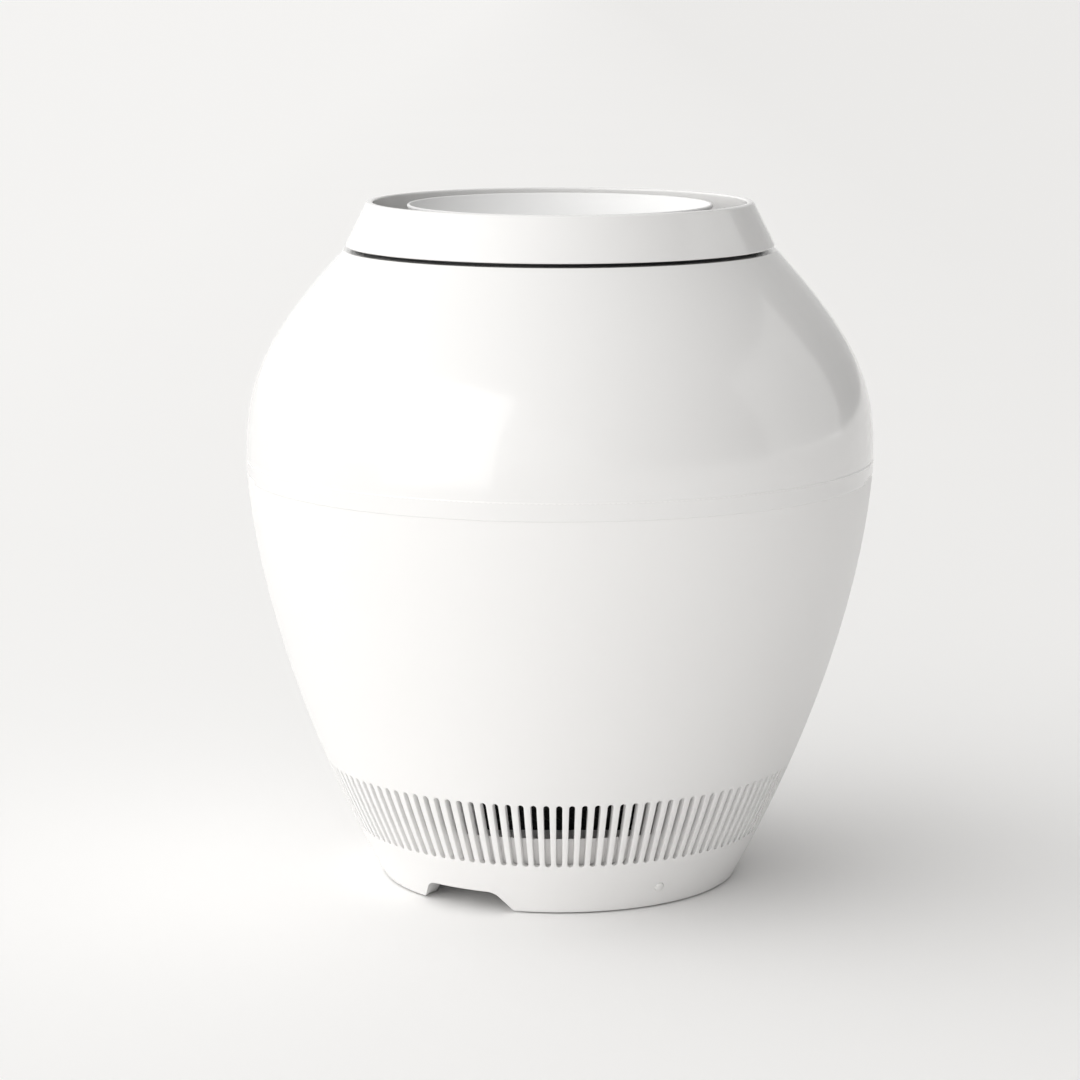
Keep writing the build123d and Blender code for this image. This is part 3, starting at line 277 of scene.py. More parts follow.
@dataclass(frozen=True)
class Moulded:
    """Injection-moulded plastic: a faint flow of tone and a fine texture from the tool."""

    slot: str
    colour: Colour
    shade: Colour
    roughness: float = 0.4
    swing: float = 0.06
    grain_per_metre: float = 1800.0
    grain_depth: float = 0.00001
    coat: float = 0.0
    coat_roughness: float = 0.05
    specular: float = 0.5

    def build(self) -> bpy.types.Material:
        """Return the material."""
        surface = Surface(self.slot)
        flow = surface.noise(7.0, 3.0)
        grain = surface.noise(self.grain_per_metre, 1.0)
        return surface.finish(
            Base_Color=surface.mix(flow, self.colour, self.shade),
            Roughness=self.roughness + (surface.noise(60.0) - 0.5) * self.swing,
            Specular_IOR_Level=self.specular,
            Coat_Weight=self.coat,
            Coat_Roughness=self.coat_roughness,
            Normal=surface.relief(grain, self.grain_depth),
        )


@dataclass(frozen=True)
class Ground:
    """Ground, cast or plated metal with fine lines or grains."""

    slot: str
    colour: Colour
    shade: Colour
    roughness: float = 0.32
    line_scale: tuple[float, float, float] = (300.0, 300.0, 5000.0)
    line_depth: float = 0.00002

    def build(self) -> bpy.types.Material:
        """Return the material."""
        surface = Surface(self.slot)
        lines = surface.noise(1.0, 3.0, surface.stretched(self.line_scale))
        return surface.finish(
            Base_Color=surface.mix(surface.noise(90.0, 3.0), self.colour, self.shade),
            Metallic=1.0,
            Roughness=self.roughness + (lines - 0.5) * 0.16,
            Normal=surface.relief(lines, self.line_depth),
        )


@dataclass(frozen=True)
class Granules:
    """Bonded carbon granules on a fleece."""

    slot: str
    colour: Colour
    shade: Colour
    grains_per_metre: float = 620.0
    depth: float = 0.0006

    def build(self) -> bpy.types.Material:
        """Return the material."""
        surface = Surface(self.slot)
        grains = surface.cells(self.grains_per_metre)
        fibre = surface.noise(1500.0, 3.0)
        return surface.finish(
            Base_Color=surface.mix(grains * 1.4, self.colour, self.shade),
            Roughness=0.62 + fibre * 0.3,
            Normal=surface.relief(1 - grains + fibre * 0.3, self.depth),
        )


@dataclass(frozen=True)
class Paper:
    """Filter paper: pressed glass fibres with an embossed row of spacers."""

    slot: str
    colour: Colour
    shade: Colour

    def build(self) -> bpy.types.Material:
        """Return the material."""
        surface = Surface(self.slot)
        fibres = surface.noise(1.0, 4.0, surface.stretched((900.0, 900.0, 260.0)))
        rows = surface.bands(40.0, "Z")
        return surface.finish(
            Base_Color=surface.mix(fibres, self.colour, self.shade),
            Roughness=0.82 + fibres * 0.12,
            Normal=surface.relief(fibres + (rows > 0.93) * 0.8, 0.0001),
        )


@dataclass(frozen=True)
class Elastomer:
    """Rubber with a dusty bloom and a fine matt texture."""

    slot: str
    colour: Colour
    shade: Colour
    roughness: float = 0.66

    def build(self) -> bpy.types.Material:
        """Return the material."""
        surface = Surface(self.slot)
        bloom = surface.noise(120.0, 4.0)
        pores = surface.noise(2600.0, 1.0)
        return surface.finish(
            Base_Color=surface.mix(bloom, self.colour, self.shade),
            Roughness=self.roughness + bloom * 0.14,
            Normal=surface.relief(pores, 0.00003),
        )


@dataclass(frozen=True)
class Laminate:
    """Printed circuit board: solder mask over raised tracks with tinned pads."""

    slot: str
    mask: Colour
    track: Colour
    pad: Colour

    def build(self) -> bpy.types.Material:
        """Return the material."""
        surface = Surface(self.slot)
        tracks = (surface.bands(520.0, "X") > 0.72) * (surface.noise(70.0, 0.0) > 0.46)
        pads = surface.cells(260.0)
        tinned = (0.16 - pads) * 8.0 > 0.0
        masked = surface.mix(tracks, self.mask, self.track)
        return surface.finish(
            Base_Color=surface.mix(tinned, masked, self.pad),
            Metallic=tinned * 0.9,
            Roughness=0.36 + surface.noise(300.0) * 0.12,
            Normal=surface.relief(tracks + tinned, 0.00004),
        )


@dataclass(frozen=True)
class Strands:
    """Wires that lie side by side, as in a winding or a flat cable."""

    slot: str
    colour: Colour
    shade: Colour
    per_metre: float
    direction: str
    metallic: float
    roughness: float

    def build(self) -> bpy.types.Material:
        """Return the material."""
        surface = Surface(self.slot)
        wires = surface.bands(self.per_metre, self.direction)
        return surface.finish(
            Base_Color=surface.mix(wires, self.shade, self.colour),
            Metallic=self.metallic,
            Roughness=self.roughness + surface.noise(400.0) * 0.12,
            Normal=surface.relief(wires, 0.0003),
        )


def grey(value: float, warm: float = 0.0) -> Colour:
    """Grey of a linear value, a little redder and less blue by warm."""
    return (value + warm, value, value - warm, 1.0)


FINISHES = (
    Moulded(
        "shell_white", grey(0.845, 0.006), grey(0.825, 0.007), roughness=0.34, swing=0.05,
        grain_per_metre=1500.0, grain_depth=0.000012, coat=0.25, coat_roughness=0.25,
    ),
    Moulded(
        "shell_gloss_white", grey(0.82, 0.005), grey(0.805, 0.006), roughness=0.2, swing=0.03,
        grain_per_metre=260.0, grain_depth=0.000006, coat=0.8, coat_roughness=0.09,
    ),
    Moulded(
        "dish_white", grey(0.87, 0.008), grey(0.85, 0.009), roughness=0.3, swing=0.05,
        grain_per_metre=600.0, grain_depth=0.000012, coat=0.3, coat_roughness=0.15,
    ),
    Moulded(
        "inner_white", grey(0.78, 0.008), grey(0.74, 0.009), roughness=0.5, swing=0.1,
        grain_per_metre=2400.0, grain_depth=0.00003,
    ),
    Moulded(
        "black_plastic", grey(0.018), grey(0.024), roughness=0.5, swing=0.1,
        grain_per_metre=2600.0, grain_depth=0.00004,
    ),
    Granules("carbon", grey(0.022), grey(0.008)),
    Paper("filter_paper", (0.80, 0.78, 0.72, 1.0), (0.70, 0.68, 0.62, 1.0)),
    Elastomer("rubber", grey(0.03), grey(0.045)),
    Elastomer("seam_rubber", (0.50, 0.45, 0.425, 1.0), (0.46, 0.41, 0.39, 1.0), roughness=0.6),
    Moulded(
        "impeller_grey", grey(0.16, -0.003), grey(0.13, -0.003), roughness=0.44, swing=0.12,
        grain_per_metre=1600.0, grain_depth=0.00003,
    ),
    Ground("steel", grey(0.56), grey(0.46)),
    Ground(
        "aluminium", grey(0.70), grey(0.60), roughness=0.42, line_scale=(900.0, 900.0, 900.0),
        line_depth=0.00005,
    ),
    Strands("copper", (0.72, 0.30, 0.12, 1.0), (0.34, 0.12, 0.05, 1.0), 1900.0, "Z", 0.9, 0.26),
    Ground("screw_steel", grey(0.52, 0.01), grey(0.40, 0.01), roughness=0.3),
    Ground("brass", (0.78, 0.58, 0.24, 1.0), (0.62, 0.44, 0.17, 1.0), roughness=0.24),
    Laminate("circuit_board", (0.012, 0.10, 0.035, 1.0), (0.03, 0.19, 0.07, 1.0), grey(0.62)),
    Moulded(
        "components", grey(0.04), grey(0.06), roughness=0.45, swing=0.12,
        grain_per_metre=3000.0, grain_depth=0.00004,
    ),
    Strands("ribbon", grey(0.34), grey(0.16), 800.0, "X", 0.0, 0.42),
)


class Paintbox:
    """Builds each finish once and hands it out by its slot."""

    def __init__(self, finishes: Iterable) -> None:
        """Build every finish."""
        self.materials = {finish.slot: finish.build() for finish in finishes}

    def __getitem__(self, slot: str) -> bpy.types.Material:
        """Material of a slot."""
        return self.materials[slot]

    def dress_nodes(self) -> int:
        """Give every CAD node the material of its record slot.

        Returns:
            How many nodes were dressed.
        """
        for part in frame["record"]["subparts"]:
            mesh = frame["nodes"][part["node"]].data
            mesh.materials.clear()
            mesh.materials.append(self[part["material_slot"]])
        return len(frame["record"]["subparts"])


# ---------------------------------------------------------------- outlines
@dataclass(frozen=True)
class WallCurve:
    """One curve of the vessel's outline: two ends, their leans from vertical and their pulls."""

    start: tuple[float, float]
    start_lean: float
    start_share: float
    end: tuple[float, float]
    end_lean: float
    end_share: float

    def control(self, inset: float = 0.0) -> list[tuple[float, float]]:
        """Four control points of the curve moved inward by inset."""
        rise = self.end[1] - self.start[1]
        chord = hypot(self.end[0] - self.start[0], rise)
        bend_radius = chord / (2 * sin(radians(abs(self.end_lean - self.start_lean)) / 2))
        shrink = 1 - inset / bend_radius
        points = []
        for (radius, height), lean, pull in (
            (self.start, self.start_lean, self.start_share * rise * shrink),
            (self.end, self.end_lean, -self.end_share * rise * shrink),
        ):
            angle = radians(lean)
            anchor = (radius - inset * cos(angle), height + inset * sin(angle))
            handle = (anchor[0] + pull * sin(angle), anchor[1] + pull * cos(angle))
            points.append((anchor, handle))
        return [points[0][0], points[0][1], points[1][1], points[1][0]]

    def at(self, share: float, inset: float = 0.0) -> tuple[float, float]:
        """Radius and height at a share of the curve's parameter."""
        return bezier_point(self.control(inset), share)

    def share(self, height: float, inset: float = 0.0) -> float:
        """Curve parameter at a height, found by halving."""
        control = self.control(inset)
        low, high = 0.0, 1.0
        for _ in range(40):
            middle = (low + high) / 2
            if bezier_point(control, middle)[1] < height:
                low = middle
            else:
                high = middle
        return low

    def radius(self, height: float, inset: float = 0.0) -> float:
        """Radius at a height."""
        return bezier_point(self.control(inset), self.share(height, inset))[0]

    def run(self, low: float, high: float, steps: int, inset: float = 0.0) -> Section:
        """Points from one height to another, the ends among them.

        Args:
            low: height of the first point.
            high: height of the last point, above or below the first.
            steps: number of spans.
            inset: distance inside the outer surface.

        Returns:
            Radius and height of each point.
        """
        first, last = self.share(low, inset), self.share(high, inset)
        inner = [
            self.at(first + (last - first) * index / steps, inset) for index in range(1, steps)
        ]
        return [(self.radius(low, inset), low), *inner, (self.radius(high, inset), high)]


def bezier_point(control: Sequence[tuple[float, float]], share: float) -> tuple[float, float]:
    """Point of a cubic curve at a share of its parameter."""
    rest = 1 - share
    weights = (rest**3, 3 * rest**2 * share, 3 * rest * share**2, share**3)
    return (
        sum(weight * point[0] for weight, point in zip(weights, control)),
        sum(weight * point[1] for weight, point in zip(weights, control)),
    )


def bezier_run(control: Sequence[tuple[float, float]], steps: int) -> Section:
    """Points along a cubic curve, both ends among them."""
    return [bezier_point(control, index / steps) for index in range(steps + 1)]


def rounded(corners: Section, radii: dict[int, float], steps: int = 4) -> Section:
    """Outline with some of its corners rounded, and a point beside each arc on a long side.

    The extra points keep the smooth shading of a long side from starting at the arc's lean.

    Args:
        corners: the outline's points, in order.
        radii: rounding radius by the corner's place in the list.
        steps: spans in each arc.

    Returns:
        The outline's points with arcs in place of those corners.
    """
    points: Section = []
    for index, corner in enumerate(corners):
        if index not in radii:
            points.append(corner)
            continue
        here = Vector(corner)
        back = (Vector(corners[index - 1]) - here).normalized()
        ahead = (Vector(corners[(index + 1) % len(corners)]) - here).normalized()
        half = back.angle(ahead) / 2
        radius = radii[index]
        reach = radius / (sin(half) / cos(half))
        centre = here + (back + ahead).normalized() * (radius / sin(half))
        first, last = here + back * reach - centre, here + ahead * reach - centre
        arc = [
            centre + first.lerp(last, step / steps).normalized() * radius
            for step in range(steps + 1)
        ]
        if (Vector(corners[index - 1]) - arc[0]).length > GUARD_SPAN:
            arc.insert(0, arc[0] + back * GUARD_STEP)
        if (Vector(corners[(index + 1) % len(corners)]) - arc[-1]).length > GUARD_SPAN:
            arc.append(arc[-1] + ahead * GUARD_STEP)
        points.extend(tuple(point) for point in arc)
    return points


def spot(azimuth: float, radius: float, height: float) -> Vector:
    """Point at an azimuth in degrees."""
    return Vector((radius * sin(radians(azimuth)), -radius * cos(radians(azimuth)), height))


# ---------------------------------------------------------------- mesh making
class Draft:
    """A mesh that is being drawn, as points and faces."""

    def __init__(self) -> None:
        """Start empty."""
        self.mesh = bmesh.new()

    def sheet(self, rows: Sequence[Sequence[Vector]], closed: bool = False) -> None:
        """Quads between neighbouring rows of points.

        Args:
            rows: rows with the same number of points.
            closed: whether each row's last point joins its first.
        """
        verts = [[self.mesh.verts.new(point) for point in row] for row in rows]
        count = len(rows[0])
        for row, following in zip(verts, verts[1:]):
            for index in range(count if closed else count - 1):
                after = (index + 1) % count
                self.mesh.faces.new((row[index], row[after], following[after], following[index]))

    def block(self, outline: Sequence[Vector], depth: Vector) -> None:
        """Closed prism on an outline.

        Args:
            outline: corners of one end.
            depth: step to the other end.
        """
        near = [self.mesh.verts.new(point) for point in outline]
        far = [self.mesh.verts.new(Vector(point) + depth) for point in outline]
        self.mesh.faces.new(near)
        self.mesh.faces.new(far[::-1])
        for index in range(len(near)):
            after = (index + 1) % len(near)
            self.mesh.faces.new((near[index], far[index], far[after], near[after]))

    def piece(self, name: str, weld: float = 2e-7) -> bpy.types.Object:
        """Turn the draft into an object at the origin."""
        bmesh.ops.remove_doubles(self.mesh, verts=self.mesh.verts, dist=weld)
        bmesh.ops.recalc_face_normals(self.mesh, faces=self.mesh.faces)
        data = bpy.data.meshes.new(name)
        self.mesh.to_mesh(data)
        self.mesh.free()
        made = bpy.data.objects.new(name, data)
        bpy.context.scene.collection.objects.link(made)
        return made


def settle(piece: bpy.types.Object, sharp: float = 32.0) -> None:
    """Point a piece's faces outward and shade it smooth except at its edges."""
    mesh = bmesh.new()
    mesh.from_mesh(piece.data)
    bmesh.ops.recalc_face_normals(mesh, faces=mesh.faces)
    mesh.to_mesh(piece.data)
    mesh.free()
    piece.data.shade_smooth()
    piece.data.set_sharp_from_angle(angle=radians(sharp))


class Tree(Graph):
    """A geometry node tree that repeats a piece's mesh, with named inputs."""

    title = "Repeat"
    numbers: tuple[tuple[str, str], ...] = ()

    def __init__(self) -> None:
        """Make the tree's interface, the group nodes and the tree itself."""
        group = bpy.data.node_groups.new(self.title, "GeometryNodeTree")
        group.is_modifier = True
        super().__init__(group)
        named = [("Geometry", "NodeSocketGeometry"), *self.numbers]
        named += [("Weld", "NodeSocketFloat"), ("Material", "NodeSocketMaterial")]
        for name, kind in named:
            group.interface.new_socket(name, in_out="INPUT", socket_type=kind)
        group.interface.new_socket("Geometry", in_out="OUTPUT", socket_type="NodeSocketGeometry")
        self.given = self.node("NodeGroupInput")
        copies = self.copies()
        real = self.out(self.node("GeometryNodeRealizeInstances", inputs={"Geometry": copies}))
        welded = self.node(
            "GeometryNodeMergeByDistance",
            inputs={"Geometry": real, "Distance": self.out(self.given, "Weld")},
        )
        dressed = self.node(
            "GeometryNodeSetMaterial",
            inputs={"Geometry": self.out(welded), "Material": self.out(self.given, "Material")},
        )
        self.node("NodeGroupOutput", inputs={"Geometry": self.out(dressed)})

    def copies(self) -> Wire:
        """Instances of the mesh; each kind of tree places them its own way."""
        raise NotImplementedError

    def apply(self, piece: bpy.types.Object, **values: object) -> bpy.types.Object:
        """Run the tree on a piece and keep the result as its plain mesh.

        Args:
            piece: object with the mesh to repeat.
            values: the tree's inputs, by name with underscores for spaces.

        Returns:
            The same object with its new mesh.
        """
        modifier = piece.modifiers.new(self.title, "NODES")
        modifier.node_group = self.tree
        given = {key.replace("_", " "): value for key, value in values.items()}
        for item in self.tree.interface.items_tree:
            if item.in_out == "INPUT" and item.name in given:
                modifier[item.identifier] = given[item.name]
        piece.update_tag()
        bpy.context.view_layer.update()
        graph = bpy.context.evaluated_depsgraph_get()
        data = bpy.data.meshes.new_from_object(piece.evaluated_get(graph))
        piece.modifiers.clear()
        piece.data = data
        data.name = piece.name
        return piece


class RadialArray(Tree):
    """Copies turned about the vessel's axis by even steps."""

    title = "Radial Array"
    numbers = (("Count", "NodeSocketInt"), ("Start Angle", "NodeSocketFloat"))

    def copies(self) -> Wire:
        """One instance at each step of the turn."""
        count = self.out(self.given, "Count")
        points = self.node("GeometryNodePoints", inputs={"Count": count})
        index = self.out(self.node("GeometryNodeInputIndex"))
        turn = self.out(self.given, "Start Angle") + index * tau / count
        spin = self.node("ShaderNodeCombineXYZ", inputs={"Z": turn})
        placed = self.node(
            "GeometryNodeInstanceOnPoints",
            inputs={
                "Points": self.out(points),
                "Instance": self.out(self.given, "Geometry"),
                "Rotation": self.out(spin),
            },
        )
        return self.out(placed)


class StaggeredGrid(Tree):
    """Copies in rows across X and up Z, every second row moved by half a pitch."""

    title = "Staggered Grid"
    numbers = (
        ("Columns", "NodeSocketInt"),
        ("Rows", "NodeSocketInt"),
        ("Pitch", "NodeSocketFloat"),
        ("Row Pitch", "NodeSocketFloat"),
        ("Origin", "NodeSocketVector"),
    )

    def copies(self) -> Wire:
        """One instance at each place of the grid."""
        columns = self.out(self.given, "Columns")
        total = columns * self.out(self.given, "Rows")
        points = self.node("GeometryNodePoints", inputs={"Count": total})
        index = self.out(self.node("GeometryNodeInputIndex"))
        row = self.out(
            self.node(
                "ShaderNodeMath", {"operation": "FLOOR"}, {"Value": (index + 0.5) / columns}
            )
        )
        column = index - row * columns
        odd = self.out(
            self.node(
                "ShaderNodeMath", {"operation": "MODULO"}, {"Value": row, "Value_001": 2.0}
            )
        )
        across = (column + odd * 0.5) * self.out(self.given, "Pitch")
        up = row * self.out(self.given, "Row Pitch")
        offset = self.node("ShaderNodeCombineXYZ", inputs={"X": across, "Z": up})
        moved = self.node(
            "ShaderNodeVectorMath",
            {"operation": "ADD"},
            {"Vector": self.out(offset), "Vector_001": self.out(self.given, "Origin")},
        )
        placed = self.node(
            "GeometryNodeSetPosition",
            inputs={"Geometry": self.out(points), "Position": self.out(moved)},
        )
        copied = self.node(
            "GeometryNodeInstanceOnPoints",
            inputs={"Points": self.out(placed), "Instance": self.out(self.given, "Geometry")},
        )
        return self.out(copied)


@dataclass
class Workshop:
    """Makes pieces with the shared trees and finishes, and seats them on their bodies."""

    paint: Paintbox
    ring: RadialArray = field(default_factory=RadialArray)
    grid: StaggeredGrid = field(default_factory=StaggeredGrid)
    weld: float = 5e-6

    def turned(
        self, name: str, section: Section, slot: str, columns: int = 240, sharp: float = 32.0
    ) -> bpy.types.Object:
        """Piece of revolution.

        Args:
            name: the piece's name.
            section: closed outline as radius and height.
            slot: material slot.
            columns: faces round the axis.
            sharp: angle in degrees above which an edge stays crisp.

        Returns:
            The piece, with its faces pointing outward.
        """
        half = 180.0 / columns
        draft = Draft()
        draft.sheet([[spot(turn, *point) for point in section] for turn in (-half, half)], True)
        return self.repeated(draft, name, slot, columns, sharp=sharp)

    def repeated(
        self, draft: Draft, name: str, slot: str, count: int, start: float = 0.0,
        sharp: float = 32.0,
    ) -> bpy.types.Object:
        """Piece made of a draft repeated about the axis.

        Args:
            draft: one unit.
            name: the piece's name.
            slot: material slot.
            count: number of units.
            start: azimuth of the first unit in degrees.
            sharp: angle in degrees above which an edge stays crisp.

        Returns:
            The piece.
        """
        piece = draft.piece(name)
        self.ring.apply(
            piece, Count=count, Start_Angle=radians(start), Weld=self.weld,
            Material=self.paint[slot],
        )
        settle(piece, sharp)
        return piece

    def joined(self, name: str, pieces: Sequence[bpy.types.Object]) -> bpy.types.Object:
        """One piece made of several."""
        mesh = bmesh.new()
        for piece in pieces:
            mesh.from_mesh(piece.data)
        data = bpy.data.meshes.new(name)
        mesh.to_mesh(data)
        mesh.free()
        data.materials.append(pieces[0].data.materials[0])
        for piece in pieces:
            bpy.data.objects.remove(piece)
        made = bpy.data.objects.new(name, data)
        bpy.context.scene.collection.objects.link(made)
        settle(made)
        return made

    def seat(
        self, piece: bpy.types.Object, body: Body, slot: str, *nodes: str
    ) -> bpy.types.Object:
        """Make a piece ride on its body and stand for its CAD nodes.

        Args:
            piece: the finished piece.
            body: the body that it moves with.
            slot: the record's material slot; not used.
            nodes: CAD nodes that it replaces.

        Returns:
            The same piece.
        """
        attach(piece, body.value)
        if nodes:
            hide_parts(*nodes)
        log.info("%s: %d faces on %s", piece.name, len(piece.data.polygons), body.value)
        return piece


# ---------------------------------------------------------------- the vessel's outline
WAIST = (195.4 * MM, 267.0 * MM)
LOWER_WALL = WallCurve((111.4 * MM, 0.0), 28.4, 0.60, WAIST, 0.0, 0.073)
UPPER_WALL = WallCurve(WAIST, 0.0, 0.338, (133.8 * MM, 394.2 * MM), -42.8, 0.622)


@dataclass
class Notch:
    """Opening in the foot for the mains lead: sloping sides and rounded top corners."""

    azimuth: float = -30.8
    bottom: float = 65.4 * MM
    top: float = 47.4 * MM
    height: float = 13.3 * MM
    corner: float = 9.0 * MM

    def rise(self, azimuth: float, radius: float) -> float:
        """Height of the notch's edge above the floor at a place, or nothing outside it."""
        turn = radians(azimuth - self.azimuth)
        if abs(turn) > pi / 3:
            return 0.0
        across = abs(radius * sin(turn))
        slope = 2 * self.height / (self.bottom - self.top)
        side = (self.bottom / 2 - across) * slope
        bend = atan2(slope, 1.0)
        arc_start = self.top / 2 - self.corner * sin(bend / 2) / cos(bend / 2)
        arc_end = arc_start + self.corner * sin(bend)
        if across <= arc_start:
            return self.height
        if across < arc_end:
            drop = self.corner - sqrt(self.corner**2 - (across - arc_start) ** 2)
            return self.height - drop
        return max(0.0, side)


@dataclass
class SlottedWall:
    """Lower shell: one slot with its share of the wall, repeated round the axis."""

    shop: Workshop
    slot_count: int = 120
    slot_width: float = 3.6 * MM
    slot_low: float = 33.8 * MM
    slot_length: float = 42.7 * MM
    band_top: float = 84.0 * MM
    band_wall: float = 5.0 * MM
    wall: float = 3.2 * MM
    edge: float = 0.35 * MM
    cell_margin: float = 1.6 * MM
    foot_low: float = 1.0 * MM
    foot_top: float = 15.0 * MM
    foot_recess: float = 99.9 * MM
    foot_bend: float = 21.0 * MM
    end_steps: int = 8
    side_steps: int = 6
    notch: Notch = field(default_factory=Notch)

    @property
    def pitch(self) -> float:
        """Angle from slot to slot in degrees."""
        return 360.0 / self.slot_count

    @property
    def cell(self) -> tuple[float, float]:
        """Lowest and highest level of the part of the wall that holds the slot."""
        return (
            self.slot_low - self.cell_margin,
            self.slot_low + self.slot_length + self.cell_margin,
        )

    def stadium(self, grow: float) -> list[tuple[float, float]]:
        """Outline of the slot, grown by a margin, as distance across and height.

        Args:
            grow: how far outside the slot's edge the outline lies.

        Returns:
            Points anticlockwise from the lower left.
        """
        radius = self.slot_width / 2 + grow
        low = self.slot_low + self.slot_width / 2
        high = self.slot_low + self.slot_length - self.slot_width / 2
        ends = []
        for centre, first in ((low, pi), (high, 0.0)):
            turns = [first + pi * step / self.end_steps for step in range(self.end_steps + 1)]
            ends.append([(radius * cos(turn), centre + radius * sin(turn)) for turn in turns])
        steps = range(1, self.side_steps)
        rights = [(radius, low + (high - low) * step / self.side_steps) for step in steps]
        lefts = [(-across, height) for across, height in reversed(rights)]
        return ends[0] + rights + ends[1] + lefts

    def border(self) -> list[tuple[float, float]]:
        """Edge of the slot's cell as azimuth and height, in step with the slot's outline."""
        half = self.pitch / 2
        bottom, top = self.cell
        slot = self.stadium(0.0)
        quarter = self.end_steps // 4
        low, high = slot[0][1], slot[self.end_steps + self.side_steps][1]
        places = []
        for level, corner, flip in ((low, bottom, 1), (high, top, -1)):
            end = []
            for step in range(self.end_steps + 1):
                if step <= quarter:
                    height = level + (corner - level) * step / quarter
                    end.append((-half * flip, height))
                elif step >= 3 * quarter:
                    height = corner + (level - corner) * (step - 3 * quarter) / quarter
                    end.append((half * flip, height))
                else:
                    share = (step - quarter) / (2 * quarter)
                    end.append((half * flip * (2 * share - 1), corner))
            places.append(end)
        steps = range(1, self.side_steps)
        rights = [(half, low + (high - low) * step / self.side_steps) for step in steps]
        lefts = [(-half, height) for _, height in reversed(rights)]
        return places[0] + rights + places[1] + lefts

    def across(self, places: list[tuple[float, float]], inset: float) -> list[Vector]:
        """Points of the wall at distances across the front and heights."""
        points = []
        for across, height in places:
            radius = LOWER_WALL.radius(height, inset)
            points.append(spot(degrees(asin(across / radius)), radius, height))
        return points

    def around(self, places: list[tuple[float, float]], inset: float) -> list[Vector]:
        """Points of the wall at azimuths and heights."""
        return [spot(turn, LOWER_WALL.radius(height, inset), height) for turn, height in places]

    def unit(self) -> Draft:
        """One slot with its share of the wall, from the foot to the waist."""
        draft = Draft()
        draft.sheet(
            [
                self.around(self.border(), 0.0),
                self.across(self.stadium(self.edge), 0.0),
                self.across(self.stadium(self.edge * 0.3), self.edge * 0.3),
                self.across(self.stadium(0.0), self.edge),
                self.across(self.stadium(0.0), self.band_wall),
                self.around(self.border(), self.band_wall),
            ],
            closed=True,
        )
        bottom, top = self.cell
        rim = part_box("lower_shell")[1].z
        above = rounded(
            LOWER_WALL.run(top, rim, 30) + LOWER_WALL.run(rim, self.band_top, 16, self.wall),
            {30: 0.3 * MM, 31: 0.3 * MM}, 2,
        ) + LOWER_WALL.run(self.band_top, top, 1, self.band_wall)
        below = (
            LOWER_WALL.run(bottom, self.foot_top, 4, self.band_wall)
            + rounded(
                [
                    (self.foot_recess, self.foot_top),
                    (self.foot_recess, self.foot_low),
                    (LOWER_WALL.radius(self.foot_low), self.foot_low),
                    (LOWER_WALL.radius(3 * self.foot_low), 3 * self.foot_low),
                ],
                {1: 0.4 * MM, 2: 0.5 * MM}, 3,
            )
            + LOWER_WALL.run(5 * self.foot_low, bottom, 10)
        )
        turns = [self.pitch * step / 4 for step in (-2, -1, 0, 1, 2)]
        for path in (above, below):
            draft.sheet([[spot(turn, *point) for point in path] for turn in turns])
        return draft

    def cut_notch(self, piece: bpy.types.Object) -> None:
        """Raise the foot's edge along the notch."""
        for vertex in piece.data.vertices:
            place = vertex.co
            radius = hypot(place.x, place.y)
            inside = radius < self.foot_recess + 1 * MM
            bend = self.foot_top if inside else self.foot_bend
            if place.z >= bend or (not inside and place.z > self.foot_bend):
                continue
            azimuth = degrees(atan2(place.x, -place.y))
            start = self.notch.rise(azimuth, radius)
            start = self.notch.rise(azimuth, radius + start * 0.5 * (not inside))
            if start <= self.foot_low:
                continue
            share = (place.z - self.foot_low) / (bend - self.foot_low)
            height = start + (bend - start) * share
            if not inside:
                radius += LOWER_WALL.radius(height) - LOWER_WALL.radius(place.z)
            vertex.co = spot(azimuth, radius, height)

    def build(self, button: "PowerButton") -> None:
        """Make the shell with its notch and the button's hole."""
        piece = self.shop.repeated(self.unit(), "lower_shell_fine", "shell_white", self.slot_count)
        self.cut_notch(piece)
        button.bore(piece)
        settle(piece)
        self.shop.seat(piece, Body.LOWER, "shell_white", "lower_shell")


